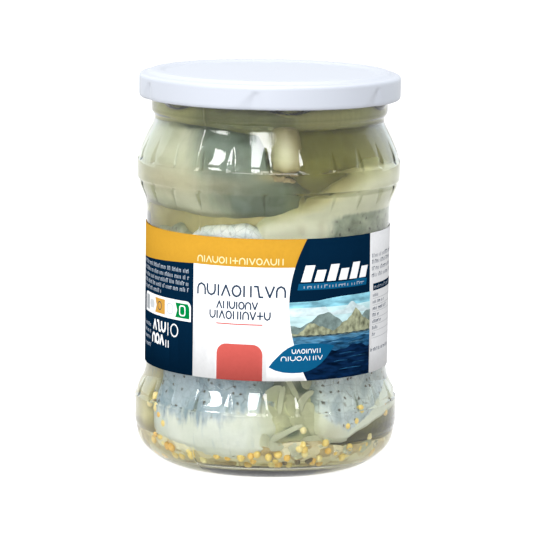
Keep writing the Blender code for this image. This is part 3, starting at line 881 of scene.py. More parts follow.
def pressed_fillet(name, left, right, low, high, skin_at, sink=0.4, seed=0, end_curl=(7.0, 9.0),
                   edge_curl=(5.0, 6.0), inner=13.0, wave=0.35, uneven=0.0, stain_at=None):
    """A roll whose side lies flat on the glass from one angle round to another. low and high give its
    edges by angle, and sink how far it stands back from the glass."""
    out_count, in_count, rows, cap_rows = 130, 20, 64, 6
    draw = Vector((seed * 3.1, seed * 1.7, seed * 0.9))
    round_angles = [(left + right) / 2 - (right - left) / 2 * math.cos(math.pi * k / (out_count - 1))
                    for k in range(out_count)]
    skin, sheet, stain, rings = [], [], [], []
    for i in range(-cap_rows, rows + cap_rows + 1):
        share = (1.0 - math.cos(math.pi * min(max(i / rows, 0.0), 1.0))) / 2
        depth = max(-i, i - rows, 0) / cap_rows
        ring = []
        for k in range(out_count + in_count):
            if k < out_count:
                angle = round_angles[k]
            else:
                angle = right + (left - right) * (k - out_count + 1) / (in_count + 1)
            bottom = along_list(low, angle) + 0.7 * noise.noise(Vector((angle * 0.12, 5.0, 0.0)) + draw)
            top = along_list(high, angle) + 0.7 * noise.noise(Vector((angle * 0.12, 9.0, 0.0)) + draw)
            z = bottom + (top - bottom) * share
            shift = uneven * noise.noise(Vector((0.0, 3.0, z * 0.13)) + draw)
            angle += shift * ((angle - left) / (right - left)) ** 2
            if k < out_count:
                spot = Vector(turn(angle, 38.0, z))
                bump = noise.noise(spot * 0.11 + draw) * 1.1 + noise.noise(spot * 0.32 + draw) * 0.4
                back = (sink(angle, z) if callable(sink) else sink) + max(0.0, bump) * wave * 2
                back += curl(min(round_angles[k] - left, right - round_angles[k]) * 0.69, *end_curl)
                back += curl(min(z - bottom, top - z), *edge_curl)
                reach = room(z) - back
            else:
                reach = inner
            ring.append(turn(angle, reach, z))
            skin.append(skin_at(angle, z))
            stain.append(stain_at(angle, z) if stain_at else 0.0)
            sheet.append((angle * 0.00069, z * 0.001, 0.0))
        ring = np.array(ring)
        rings.append((ring + (ring.mean(axis=0) - ring) * min(depth, 0.9999)) * MM)
    return closed_roll(name, rings, 60.0, skin=skin, stain=stain, sheet=sheet)


BLACK, WHITE = (0.0, 0.0, 0.0), (1.0, 1.0, 1.0)


def herring_finish(name, flesh, flesh_dark, skin_light, skin_dark, speckle=1.0, net_depth=0.35, ragged=1.0):
    """Marinated herring: pale flesh with faint muscle lines, and silver skin with dark specks."""
    made, shader, tree = finish_of(name)
    set_sockets(shader, Roughness=0.36, Specular_IOR_Level=0.4)
    place = add_node(tree, "ShaderNodeTexCoord")
    sheet = add_node(tree, "ShaderNodeAttribute", attribute_name="sheet")
    link = tree.links.new

    def noise_at(scale, detail, distort=0.0, source=None):
        """Soft noise, over the piece or over the fillet laid flat."""
        made_node = add_node(tree, "ShaderNodeTexNoise")
        set_sockets(made_node, Scale=scale, Detail=detail, Distortion=distort)
        link(source or place.outputs["Object"], made_node.inputs["Vector"])
        return made_node

    def stretched(scale_x, scale_y, source):
        """The same places, closer together one way than the other."""
        node = add_node(tree, "ShaderNodeMapping")
        node.inputs["Scale"].default_value = (scale_x, scale_y, 1.0)
        link(source, node.inputs["Vector"])
        return node.outputs["Vector"]


    def mix(factor, a, b, kind="MIX"):
        """Two colours blended. Each value is a number, a colour or another node's output."""
        node = add_node(tree, "ShaderNodeMixRGB", blend_type=kind)
        for socket, value in (("Fac", factor), ("Color1", a), ("Color2", b)):
            if isinstance(value, float):
                node.inputs[socket].default_value = value
            elif isinstance(value, tuple):
                node.inputs[socket].default_value = (*value, 1.0)
            else:
                link(value, node.inputs[socket])
        return node.outputs["Color"]

    flat = sheet.outputs["Vector"]
    cloud = noise_at(80.0, 4.0, 0.4)
    flesh_tone = ramp(tree, cloud.outputs["Fac"], [(0.36, flesh_dark), (0.60, flesh)])
    fibre = noise_at(1.0, 3.0, 0.6, stretched(260.0, 900.0, flat))
    flesh_lined = mix(0.10, flesh_tone, fibre.outputs["Fac"], "MULTIPLY")
    mottle = noise_at(170.0, 5.0, 0.8)
    skin_tone = ramp(tree, mottle.outputs["Fac"], [(0.36, skin_dark), (0.62, skin_light)])
    scales = add_node(tree, "ShaderNodeTexVoronoi", feature="DISTANCE_TO_EDGE", voronoi_dimensions="2D")
    set_sockets(scales, Scale=380.0)
    link(flat, scales.inputs["Vector"])
    net_line = ramp(tree, scales.outputs["Distance"], [(0.0, (0.55, 0.57, 0.60)), (0.09, WHITE)])
    skin_netted = mix(net_depth, skin_tone, net_line, "MULTIPLY")
    wobble = noise_at(1300.0, 3.0)
    bend = add_node(tree, "ShaderNodeVectorMath", operation="MULTIPLY_ADD")
    bend.inputs[1].default_value = (0.0013, 0.0013, 0.0)
    link(wobble.outputs["Color"], bend.inputs[0])
    link(flat, bend.inputs[2])
    speck = add_node(tree, "ShaderNodeTexVoronoi", feature="F1", voronoi_dimensions="2D")
    set_sockets(speck, Scale=310.0, Randomness=1.0)
    link(bend.outputs["Vector"], speck.inputs["Vector"])
    spot = ramp(tree, speck.outputs["Distance"], [(0.08, WHITE), (0.21, BLACK)])
    pick = ramp(tree, speck.outputs["Color"], [(0.40, BLACK), (0.54, WHITE)])
    edge = add_node(tree, "ShaderNodeTexVoronoi", feature="DISTANCE_TO_EDGE", voronoi_dimensions="2D")
    set_sockets(edge, Scale=270.0)
    link(bend.outputs["Vector"], edge.inputs["Vector"])
    edge_line = ramp(tree, edge.outputs["Distance"], [(0.0, (0.6, 0.6, 0.6)), (0.055, BLACK)])
    where = ramp(tree, noise_at(240.0, 2.0).outputs["Fac"], [(0.50, BLACK), (0.62, WHITE)])
    spots, lines = mix(1.0, spot, pick, "MULTIPLY"), mix(1.0, edge_line, where, "MULTIPLY")
    dark_marks = mix(1.0, spots, lines, "ADD")
    speck_here = mix(1.0, dark_marks, (speckle, speckle, speckle), "MULTIPLY")
    skin_specked = mix(speck_here, skin_netted, (0.060, 0.052, 0.050))
    streak = noise_at(1.0, 3.0, 0.0, stretched(620.0, 140.0, flat))
    amount = add_node(tree, "ShaderNodeAttribute", attribute_name="skin")
    shifted = add_node(tree, "ShaderNodeMath", operation="ADD")
    link(amount.outputs["Fac"], shifted.inputs[0])
    link(mix(ragged, (0.5, 0.5, 0.5), streak.outputs["Fac"]), shifted.inputs[1])
    all_skin = 1.15 if ragged > 0.5 else 1.45
    share = ramp(tree, shifted.outputs["Value"], [(0.55, BLACK), (all_skin, WHITE)], True)
    whole = mix(share, flesh_lined, skin_specked)
    # Brown mixed in by the stain value: partly a brown tone of the fish, partly painted shade
    stain = add_node(tree, "ShaderNodeAttribute", attribute_name="stain")
    stained = mix(stain.outputs["Fac"], whole, (0.39, 0.335, 0.19))
    link(stained, shader.inputs["Base Color"])
    fine = noise_at(520.0, 3.0)
    dent = add_node(tree, "ShaderNodeBump")
    set_sockets(dent, Strength=0.3, Distance=0.0006)
    link(fine.outputs["Fac"], dent.inputs["Height"])
    link(dent.outputs["Normal"], shader.inputs["Normal"])
    return made


white_herring = herring_finish("white_herring", (0.76, 0.79, 0.78), (0.66, 0.70, 0.67),
                               (0.41, 0.50, 0.61), (0.22, 0.31, 0.42))
blue_herring = herring_finish("blue_herring", (0.78, 0.80, 0.74), (0.68, 0.72, 0.64),
                              (0.62, 0.69, 0.74), (0.36, 0.44, 0.52), net_depth=0.5)
green_herring = herring_finish("green_herring", (0.64, 0.65, 0.53), (0.50, 0.53, 0.38),
                               (0.145, 0.195, 0.165), (0.09, 0.125, 0.095), 0.0, 0.1, 0.15)
cream_herring = herring_finish("cream_herring", (0.82, 0.82, 0.66), (0.66, 0.67, 0.50),
                               (0.40, 0.45, 0.34), (0.20, 0.24, 0.16), 0.8, 0.3, 0.5)
# A lighter copy of the herring with near-white skin: painted sheen for the silver skin of the lump at the
# front
bright_herring = herring_finish("bright_herring", (0.84, 0.87, 0.86), (0.70, 0.75, 0.72),
                                (0.93, 0.95, 0.98), (0.70, 0.77, 0.82), 0.25, 0.5)
gold_herring = herring_finish("gold_herring", (0.66, 0.60, 0.38), (0.52, 0.46, 0.26),
                              (0.46, 0.50, 0.46), (0.26, 0.30, 0.27))
neck_herring = herring_finish("neck_herring", (0.86, 0.85, 0.53), (0.72, 0.71, 0.42),
                              (0.26, 0.275, 0.155), (0.19, 0.205, 0.11), 0.0, 0.1, 0.15)
# A darker copy of the herring: painted shade for the rolls that stand far back behind the others
dim_herring = herring_finish("dim_herring", (0.37, 0.355, 0.22), (0.29, 0.275, 0.155),
                             (0.20, 0.22, 0.18), (0.14, 0.16, 0.12), 0.0, 0.1, 0.15)

# Lines by angle, then the fillets. skin_at says where silver skin shows and stain_at where brown is mixed in:
# partly a brown tone of the fish, partly painted shade along curling edges, under the curl and between lumps.
all_round = [(-360, 57), (360, 57)]
left_skin_line = [(-68, 25), (-60, 22.5), (-48, 21.0), (-20, 22.0), (-8, 25.5), (0, 27)]
right_skin_line = [(20, 27), (26, 22), (34, 19.0), (41.6, 15.8), (50, 18.0), (62, 22.2), (80, 27)]
right_slope = [(-14, 82), (-6, 84.4), (0, 85.6), (8, 87.5), (17, 89.4), (24, 91.0), (29.5, 92.4),
               (40, 95.6), (50, 98.2), (60, 99.6), (71, 100.7), (118, 98)]
neck_skin = [(-90, 0.1), (-60, 0.15), (-42, 0.4), (-26, 0.8), (-8, 1.1), (4, 1.0), (16, 0.35), (34, 0.2),
             (90, 0.3)]
pressed = [
    dict(name="fillet_low_left", left=-68.0, right=16.0, seed=1, finish=white_herring,
         sink=lambda a, z: (0.4 + 7.0 * step_at(a + 9.0 * noise.noise(Vector((0.0, 7.0, z * 0.16))),
                                                3.0, 26.0) ** 1.4),
         uneven=14.0, edge_curl=(3.4, 4.0),
         low=[(-68, 11.5), (-60, 10.5), (-50, 9.3), (-38, 8.4), (-32, 7.0), (-26, 6.2), (-8, 6.2),
              (-2, 7.5), (6, 10), (16, 12)], high=all_round,
         skin_at=lambda a, z: step_at(z, along_list(left_skin_line, a), 12.0)),
    dict(name="fillet_low_right", left=21.0, right=112.0, seed=2, finish=blue_herring,
         low=[(21, 16), (26, 13.5), (34, 12.0), (39, 12.0), (50, 14.4), (62, 16.8), (83, 18.4), (112, 20)],
         high=all_round, edge_curl=(1.6, 2.2),
         skin_at=lambda a, z: step_at(z, along_list(right_skin_line, a), 4.5 - 3.3 * step_at(a, 42.0, 8.0)),
         stain_at=lambda a, z: 0.45 * patch(a, z, 31.0, 14.5, 9.0, 3.4)),
    dict(name="fillet_low_front", left=-16.0, right=40.0, seed=9, finish=green_herring,
         low=[(-16, 8.5), (40, 8.5)], high=all_round, sink=3.6, inner=20.0,
         skin_at=lambda a, z: (0.05 + 0.25 * step_at(z, 30.0, 8.0) + 0.4 * patch(a, z, 20.0, 29.0, 4.5, 3.0)
                               + 0.7 * patch(a, z, 13.0, 15.8, 4.0, 1.8)
                               + 0.3 * patch(a, z, 5.0, 31.0, 5.0, 3.0))),
    dict(name="fillet_low_far_left", left=-128.0, right=-66.0, seed=14, finish=gold_herring,
         low=[(-128, 11), (-66, 11)], high=all_round, sink=1.8,
         skin_at=lambda a, z: 0.3 * step_at(z, 30.0, 10.0), stain_at=lambda a, z: 0.1),
    dict(name="fillet_low_deep", left=26.0, right=118.0, seed=15, finish=dim_herring,
         low=[(26, 8), (118, 8)], high=[(26, 36), (118, 36)], sink=8.0, inner=12.0,
         skin_at=lambda a, z: 0.4, stain_at=lambda a, z: 0.35),
    dict(name="fillet_mid_left", left=-78.0, right=-38.0, seed=4, finish=cream_herring,
         low=all_round, high=[(-78, 78.5), (-62, 78.6), (-57, 79.4), (-52, 80.8), (-49, 80.6), (-46, 78.6),
                              (-38, 76.5)], sink=0.5, edge_curl=(3.0, 3.0),
         skin_at=lambda a, z: 0.7, stain_at=lambda a, z: 0.15),
    dict(name="fillet_mid_front", left=-44.0, right=8.0, seed=10, finish=bright_herring,
         low=all_round, high=[(-44, 77.4), (-40, 78.8), (-34, 81.0), (-25, 81.8), (-17.6, 82.2), (-10, 82.4),
                              (-5.5, 81.4), (0.5, 79.0), (8, 77.5)],
         sink=0.4, edge_curl=(3.0, 3.0), end_curl=(3.0, 3.0),
         skin_at=lambda a, z: 1.0 - step_at(a, -6.0, 12.0),
         stain_at=lambda a, z: 0.25 * step_at(a, -5.0, 8.0)),
    dict(name="fillet_mid_deep", left=-100.0, right=12.0, seed=12, finish=gold_herring,
         low=all_round, high=[(-100, 89), (12, 89)], sink=4.6,
         skin_at=lambda a, z: 0.0, stain_at=lambda a, z: 0.15),
    # fillet_top_left: its skin share rises towards the top and along its top edge from -56°, which darkens it
    # there as painted shade; its stain_at adds painted shade under the curl at 4° and towards its receding
    # right end.
    dict(name="fillet_top_left", left=-104.0, right=32.0, seed=5, finish=green_herring,
         low=[(-104, 86.5), (-80, 86.4), (-60, 85.2), (-30, 84.2), (0, 84.0), (17, 84.4), (32, 86.0)],
         high=[(-104, 112), (-80, 112.6), (-62, 113.4), (-40, 112.4), (-29, 111.6), (-18, 110.6),
               (-6, 109.6), (2, 102.0), (9, 98.5), (17, 95.5), (32, 92.0)],
         sink=lambda a, z: 0.35 + 3.6 * step_at(a, -2.0, 26.0) + 6.0 * step_at(a, 18.0, 20.0),
         edge_curl=(4.5, 6.0), end_curl=(5.0, 8.0),
         skin_at=lambda a, z: max(step_at(a + 0.5 * (z - 99.0), -27.0, 40.0)
                                  * (0.60 + 0.22 * step_at(z, 89.0, 6.0) + 0.18 * step_at(z, 98.0, 8.0)),
                                  0.8 * step_at(z, 111.5, 4.0) * step_at(a, -56.0, 18.0)),
         stain_at=lambda a, z: (0.7 * patch(a, z, 4.0, 98.0, 9.0, 1.6)
                                + 0.7 * patch(a, z, -58.0, 95.0, 28.0, 4.5)
                                + 0.25 * patch(a, z, -22.0, 95.0, 18.0, 3.0)
                                + 0.45 * step_at(a, 18.0, 20.0))),
    # fillet_top_right: its stain_at paints shade along its upper edge between 14° and 48°, and between lumps
    # at 17° and 27°.
    dict(name="fillet_top_right", left=-10.0, right=118.0, seed=6, finish=cream_herring,
         low=[(-14, 58), (118, 58)], high=right_slope, inner=16.0, edge_curl=(7.0, 7.5),
         skin_at=lambda a, z: step_at(a, 37.0, 18.0) * step_at(84.6 - z, 0.0, 3.0),
         stain_at=lambda a, z: (0.75 * step_at(z, along_list(right_slope, a) - 3.0, 4.5)
                                * step_at(48.0 - a, 0.0, 16.0) * step_at(a, 14.0, 14.0)
                                + 0.15 * patch(a, z, 52.0, 97.0, 30.0, 3.6)
                                + 0.2 * patch(a, z, 6.0, 84.5, 8.0, 3.0)
                                + 0.4 * patch(a, z, 17.0, 80.5, 2.5, 2.0)
                                + 0.35 * patch(a, z, 27.0, 81.0, 2.0, 2.5))),
    # fillet_top_curl: over its even brown tone, its stain_at paints shade on its right side, its top and its
    # bottom edge, where the roll curls back.
    dict(name="fillet_top_curl", left=0.5, right=18.5, seed=11, finish=cream_herring,
         low=[(-3, 98.0), (8, 97.6), (21, 98.6)], high=[(-3, 113.0), (8, 114.2), (15, 113.6), (21, 111.0)],
         sink=0.8, inner=26.0, edge_curl=(5.0, 4.0), end_curl=(6.0, 7.0),
         skin_at=lambda a, z: 0.0,
         stain_at=lambda a, z: min(1.0, 0.36 + 0.7 * step_at(a, 12.5, 7.0) + 0.6 * step_at(z, 108.5, 7.0)
                                   + 0.6 * step_at(101.0 - z, 0.0, 3.0))),
    dict(name="fillet_top_deep", left=2.0, right=112.0, seed=13, finish=dim_herring,
         low=[(2, 84), (112, 84)], high=[(2, 112), (112, 112)], inner=12.0,
         sink=lambda a, z: 12.0 - 9.5 * step_at(a, 64.0, 24.0),
         skin_at=lambda a, z: -0.3 + 0.3 * step_at(a, 64.0, 20.0)),
    # fillet_neck: the flesh patch at 9.5° near the top is a painted highlight, the pale reflection of the
    # screw ridge in front of it.
    dict(name="fillet_neck", left=-119.0, right=119.0, seed=16, finish=neck_herring,
         low=[(-119, 103), (0, 103), (14, 111.5), (119, 111.5)], high=[(-119, 119), (119, 119)],
         sink=5.0, inner=10.0, edge_curl=(3.0, 3.0),
         skin_at=lambda a, z: along_list(neck_skin, a) - 1.4 * patch(a, z, 9.5, 118.6, 9.0, 1.5),
         stain_at=lambda a, z: 0.4 * step_at(a, 12.0, 16.0) * step_at(50.0 - a, 0.0, 24.0)),
]
standing = [
    dict(name="fillet_low_back", middle=178.0, out=20.0, radius=22.0, seam=60.0, seed=3,
         finish=blue_herring, low=[(-180, 9), (180, 9)], high=[(-180, 56), (180, 56)], set_back=0.5,
         skin_at=lambda a, z: step_at(z, 19.0 + 4.0 * math.sin(math.radians(3 * a)), 7.0)),
    dict(name="fillet_top_back", middle=172.0, out=20.0, radius=20.0, seam=80.0, seed=8,
         finish=green_herring, low=[(-180, 58), (180, 58)], high=[(-180, 105), (180, 104)], set_back=0.4,
         skin_at=lambda a, z: 0.25 + 0.6 * step_at(z, 92.0, 6.0)),
]
for make, fillets in ((pressed_fillet, pressed), (rolled_fillet, standing)):
    for fillet in fillets:
        roll = make(**{key: value for key, value in fillet.items() if key != "finish"})
        roll.data.materials.append(fillet["finish"])
        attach(roll, "root")
        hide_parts("rollmops")


# The bed: scraps of onion and fish and spice that settled in the heel of the jar. It is a low,
# lumpy ring against the glass, under the rolls.

BED_FLOOR = 5.6
BED_ROWS = 30
BED_CLIMB = 0.62   # the share of the rows that climb the glass before the bed turns inward
bed_angles = np.arange(0.0, 360.0, 1.0)
bed_tops = [(-180, 11.0), (-75, 11.6), (-50, 11.6), (-38, 10.4), (-30, 9.0), (-12, 9.5), (0, 12.0),
            (12, 13.0), (26, 13.0), (34, 11.4), (40, 10.4), (75, 10.0), (100, 11.0), (180, 11.0)]
bed_rings = [[(0.0, 0.0, 6.3 * MM)] * len(bed_angles)]
for i in range(BED_ROWS + 1):
    share = i / BED_ROWS
    ring = []
    for angle in bed_angles:
        top = along_list(bed_tops, degrees_from(0.0, angle))
        climb = min(share / BED_CLIMB, 1.0)
        inward = max(share - BED_CLIMB, 0.0) / (1.0 - BED_CLIMB)
        z = BED_FLOOR + (top - BED_FLOOR) * math.sin(climb * math.pi / 2)
        spot = Vector(turn(angle, 38.0, z * 1.2))
        lump = noise.noise(spot * 0.42) * 0.9 + noise.noise(spot * 1.1) * 0.35
        reach = (room(z) - 1.3 + min(lump, 0.7)) * (1.0 - 0.45 * inward ** 1.3)
        ring.append(tuple(v * MM for v in turn(angle, reach, z + max(lump, -0.6) * 0.8 * inward)))
    bed_rings.append(ring)
bed_rings.append([(0.0, 0.0, 9.5 * MM)] * len(bed_angles))
bed = skin_of_rings("settled_scraps", np.array(bed_rings), sharp=60.0)
scraps, shader, tree = finish_of("settled_scraps")
set_sockets(shader, Roughness=0.4)
place = add_node(tree, "ShaderNodeTexCoord")
flakes = add_node(tree, "ShaderNodeTexVoronoi")
set_sockets(flakes, Scale=260.0, Randomness=1.0)
tree.links.new(place.outputs["Object"], flakes.inputs["Vector"])
scrap_tones = [(0.0, (0.30, 0.22, 0.11)), (0.30, (0.54, 0.42, 0.22)), (0.55, (0.70, 0.62, 0.42)),
               (1.0, (0.90, 0.87, 0.74))]
tree.links.new(ramp(tree, flakes.outputs["Color"], scrap_tones), shader.inputs["Base Color"])
bed.data.materials.append(scraps)
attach(bed, "root")
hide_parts("rollmops")


# The onion: raw onion cut into rings and strips, soft and see-through from the vinegar. The
# strips lie between the rolls and the glass, most of them low at the front.

onion_strips = [   # start, end (degrees, millimetres), bow, width, thickness, set back
    ((2.0, 13.0), (17.8, 18.4), 0.6, 2.3, 1.3, 0.6),
    ((-1.0, 25.0), (11.0, 26.2), 0.6, 8.6, 0.8, 2.2),
    ((6.5, 21.0), (9.6, 30.5), 0.9, 2.0, 1.2, 1.3),
    ((14.0, 21.0), (25.0, 28.4), 1.2, 3.2, 1.2, 0.9),
    ((10.0, 34.0), (16.5, 25.0), 0.8, 2.8, 0.9, 1.6),
    ((11.0, 27.0), (20.0, 17.0), 0.6, 7.6, 0.8, 2.6),
    ((-12.0, 20.0), (13.0, 16.5), 1.2, 9.0, 0.8, 3.0),
    ((18.0, 36.0), (23.0, 29.0), 0.6, 4.0, 0.9, 2.0),
    ((19.0, 24.0), (27.0, 14.0), 1.0, 5.4, 0.8, 2.4),
    ((28.0, 13.6), (37.0, 15.6), 0.8, 6.4, 1.2, 0.6),
    ((1.5, 11.6), (9.0, 11.8), 0.0, 3.4, 1.4, 0.5),
    ((12.6, 12.6), (15.4, 8.5), 0.0, 3.4, 1.2, 0.5),
    ((-7.0, 12.4), (3.0, 13.4), 0.4, 4.4, 1.2, 1.4),
    ((17.0, 13.2), (30.0, 11.8), 0.5, 4.0, 1.2, 1.5),
    ((14.0, 8.0), (19.0, 9.0), 0.2, 2.2, 1.2, 0.9),
    ((40.0, 9.6), (48.0, 8.0), 0.3, 3.0, 1.2, 0.8),
    ((52.0, 8.4), (60.0, 10.4), 0.3, 3.2, 1.2, 0.9),
    ((100.0, 14.0), (116.0, 22.0), 1.5, 3.0, 1.3, 1.0),
    ((108.0, 26.0), (124.0, 18.0), -1.0, 2.8, 1.3, 1.2),
    ((118.0, 12.0), (132.0, 20.0), 1.0, 2.8, 1.3, 1.4),
    ((-112.0, 15.0), (-98.0, 24.0), 1.0, 3.0, 1.3, 1.0),
    ((-122.0, 24.0), (-104.0, 13.0), 0.8, 2.8, 1.3, 1.2),
]

LOW_DEGREE_MM = 0.68   # millimetres to one degree at the low band


def onion_strip(start, end, bow, width, thickness, set_back):
    """Points and faces of one strip: a bent, slightly cupped ribbon with rounded edges."""
    steps, around = 26, 12
    points, faces = [], []
    heading = math.atan2(end[1] - start[1], (end[0] - start[0]) * LOW_DEGREE_MM)
    for k in range(steps + 1):
        s = k / steps
        angle = start[0] + (end[0] - start[0]) * s
        z = start[1] + (end[1] - start[1]) * s + bow * math.sin(math.pi * s)
        taper = min(1.0, math.sqrt(max(0.02, 6.0 * s)), math.sqrt(max(0.02, 6.0 * (1 - s))))
        wide = width * (0.85 + 0.15 * math.sin(math.pi * s + start[0])) * taper
        sway = 0.5 * math.sin(5.0 * s + start[0])
        for j in range(around):
            t = 2 * math.pi * j / around
            across = wide / 2 * math.copysign(abs(math.cos(t)) ** 0.7, math.cos(t))
            depth = thickness / 2 * taper * math.copysign(abs(math.sin(t)) ** 0.8, math.sin(t))
            depth += 0.3 * math.cos(t) ** 2
            out = room(z) - set_back - 0.8 + depth - abs(sway) * 0.5
            place = turn(angle - math.sin(heading) * across / LOW_DEGREE_MM, out,
                         z + math.cos(heading) * across + sway * 0.4)
            points.append(tuple(v * MM for v in place))
    for k in range(steps):
        for j in range(around):
            a, b = k * around + j, k * around + (j + 1) % around
            faces.append((a, a + around, b + around, b))
    faces.append(tuple(range(around)))
    faces.append(tuple(range(steps * around + around - 1, steps * around - 1, -1)))
    return points, faces


def noise_tones(tree, shader, scale, tones):
    """Two tones that run into each other in small patches."""
    place = add_node(tree, "ShaderNodeTexCoord")
    patches = add_node(tree, "ShaderNodeTexNoise")
    set_sockets(patches, Scale=scale, Detail=3.0)
    tree.links.new(place.outputs["Object"], patches.inputs["Vector"])
    tree.links.new(ramp(tree, patches.outputs["Fac"], tones), shader.inputs["Base Color"])


onion = joined("onion_strips", [onion_strip(*strip) for strip in onion_strips])
onion_flesh, shader, tree = finish_of("pickled_onion")
set_sockets(shader, Roughness=0.45, Transmission_Weight=0.35, IOR=1.36)
noise_tones(tree, shader, 220.0, [(0.40, (0.60, 0.62, 0.50)), (0.60, (0.70, 0.715, 0.60))])
onion.data.materials.append(onion_flesh)
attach(onion, "root")
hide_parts("rollmops")


# The spice scraps: flakes of bay and dill and bits of seed coat, golden to brown, caught beside
# the rolls at the left of the foot and under the curl at the front of the top.

spice_bits = [   # start, end (degrees, millimetres), bow, width, thickness, set back
    ((-61.0, 28.5), (-58.5, 22.5), 0.0, 0.9, 0.5, 0.1),
    ((-64.0, 21.6), (-55.5, 21.0), 0.0, 1.4, 0.6, 0.1),
    ((-66.0, 24.0), (-62.5, 22.5), 0.0, 2.2, 0.6, 0.3),
    ((-4.0, 98.4), (2.5, 97.8), 0.2, 1.6, 0.8, 2.2),
    ((1.5, 97.4), (8.0, 97.8), -0.3, 1.8, 0.9, 2.2),
    ((6.5, 96.4), (13.0, 96.6), 0.3, 1.4, 0.7, 2.4),
    ((10.0, 98.4), (18.0, 98.6), 0.2, 2.0, 0.8, 2.6),
    ((-16.0, 8.2), (-11.0, 9.4), 0.2, 1.0, 0.6, 0.5),
    ((9.0, 6.8), (13.0, 6.4), 0.1, 1.5, 0.8, 0.4),
    ((15.5, 6.9), (19.5, 6.6), 0.1, 1.7, 0.8, 0.4),
    ((21.0, 6.8), (25.0, 7.2), 0.1, 1.5, 0.8, 0.5),
    ((-63.0, 12.0), (-58.0, 11.0), 0.0, 1.6, 0.7, 0.3),
]
spice = joined("spice_scraps", [onion_strip(*bit) for bit in spice_bits])
spice_finish, shader, tree = finish_of("spice_scraps")
set_sockets(shader, Roughness=0.5)
noise_tones(tree, shader, 260.0, [(0.38, (0.11, 0.085, 0.045)), (0.62, (0.27, 0.205, 0.105))])
spice.data.materials.append(spice_finish)
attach(spice, "root")
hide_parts("rollmops")


# The mustard seeds: whole yellow seeds of about 2.4 mm, most of them sunk to the heel of the
# jar, with some caught between the rolls and the glass.

SEED_RADIUS = 1.2
seen_seeds = [(18.0, 16.6), (41.0, 16.8), (46.5, 18.0), (50.5, 21.2), (71.5, 18.0), (57.0, 12.0),
              (29.5, 12.2), (31.5, 9.4), (19.0, 10.4), (2.0, 8.2), (6.5, 9.0), (11.0, 8.0), (4.0, 6.4),
              (8.0, 6.4), (14.5, 6.2), (44.0, 9.8), (42.0, 7.4), (-60.0, 19.6), (-57.0, 18.0),
              (-53.5, 15.6), (-63.0, 22.5), (-57.5, 11.0), (-53.5, 8.6), (-50.5, 8.4), (-39.0, 7.6),
              (-11.5, 7.9), (-9.5, 6.0), (-6.5, 8.5), (-3.5, 9.0), (16.5, 10.8), (19.5, 9.2),
              (-66.0, 20.5), (-61.0, 11.5), (-64.0, 9.5), (18.0, 12.0), (28.0, 7.6)]
draw = np.random.default_rng(5)
seed_spots = [(angle, z, 0.0) for angle, z in seen_seeds]
# Seeds in rows: how many, first angle, angle in all, loose turn, height, lowest and highest lift, set back
seed_rows = ((64, 90.0, 180.0, 2, 8.0, -1.4, 1.6, None),
             (20, 95.0, 170.0, 4, 13.0, -1.5, 8.0, None),
             (22, -72.0, 150.0, 3, 6.6, -0.5, 3.2, (0.8, 1.6)))
for count, first_angle, spread, loose, height, lowest, highest, set_back in seed_rows:
    for k in range(count):
        angle = first_angle + spread * k / count + draw.uniform(-loose, loose)
        z = height + draw.uniform(lowest, highest)
        seed_spots.append((angle, z, draw.uniform(*set_back) if set_back else 0.0))


def seed_shape(angle, z, set_back, radius):
    """Points and faces of one seed, a slightly uneven ball."""
    rows, columns = 9, 14
    centre = turn(angle, room(z) - radius - set_back + 0.1, z)
    squeeze = 1.0 + draw.uniform(-0.07, 0.07)
    points, faces = [], []
    for i in range(rows + 1):
        latitude = math.pi * i / rows
        for j in range(columns if 0 < i < rows else 1):
            longitude = 2 * math.pi * j / columns
            ball = (math.sin(latitude) * math.cos(longitude) * squeeze,
                    math.sin(latitude) * math.sin(longitude), math.cos(latitude) / squeeze)
            points.append(tuple(MM * (middle + radius * value) for middle, value in zip(centre, ball)))
    for j in range(columns):
        faces.append((0, 1 + j, 1 + (j + 1) % columns))
    for i in range(rows - 2):
        for j in range(columns):
            a, b = 1 + i * columns + j, 1 + i * columns + (j + 1) % columns
            faces.append((a, a + columns, b + columns, b))
    last = len(points) - 1
    for j in range(columns):
        faces.append((last, last - columns + (j + 1) % columns, last - columns + j))
    return points, faces


seed_shapes = [seed_shape(*spot, SEED_RADIUS * draw.uniform(0.88, 1.08)) for spot in seed_spots]
seeds = joined("mustard_seeds", seed_shapes)
seed_tones = [[float(draw.uniform())] * len(points) for points, faces in seed_shapes]
tones = seeds.data.attributes.new("tone", "FLOAT", "POINT")
tones.data.foreach_set("value", [tone for one_seed in seed_tones for tone in one_seed])
mustard, shader, tree = finish_of("mustard_seed")
set_sockets(shader, Roughness=0.4)
tone = add_node(tree, "ShaderNodeAttribute", attribute_name="tone")
mustard_tones = [(0.0, (0.86, 0.50, 0.08)), (0.45, (0.92, 0.69, 0.20)), (1.0, (0.96, 0.86, 0.48))]
tree.links.new(ramp(tree, tone.outputs["Fac"], mustard_tones), shader.inputs["Base Color"])
seeds.data.materials.append(mustard)
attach(seeds, "root")
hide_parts("rollmops")


# The studio: a wide white floor that glows as paper lit from under does, a white surround, two
# tall windows at the front left, a lamp overhead, a panel behind each side of the jar, and the
# camera a little above the lid.

floor_mesh = bpy.data.meshes.new("floor")
floor_mesh.from_pydata([(-6, -4, 0), (6, -4, 0), (6, 10, 0), (-6, 10, 0)], [], [(0, 1, 2, 3)])
floor = bpy.data.objects.new("floor", floor_mesh)
bpy.context.scene.collection.objects.link(floor)
floor_paper, shader, tree = finish_of("white_floor")
set_sockets(shader, Base_Color=(0.12, 0.12, 0.12, 1.0), Roughness=0.9,
            Emission_Color=(1.0, 1.0, 1.0, 1.0), Emission_Strength=1.0)
floor_mesh.materials.append(floor_paper)

surround = bpy.data.worlds.new("surround")
surround.use_nodes = True
surround.node_tree.nodes["Background"].inputs["Color"].default_value = (0.96, 0.985, 1.0, 1.0)
surround.node_tree.nodes["Background"].inputs["Strength"].default_value = 1.0
bpy.context.scene.world = surround


LIGHT_AIM = 0.07   # metres up the jar that every lamp faces


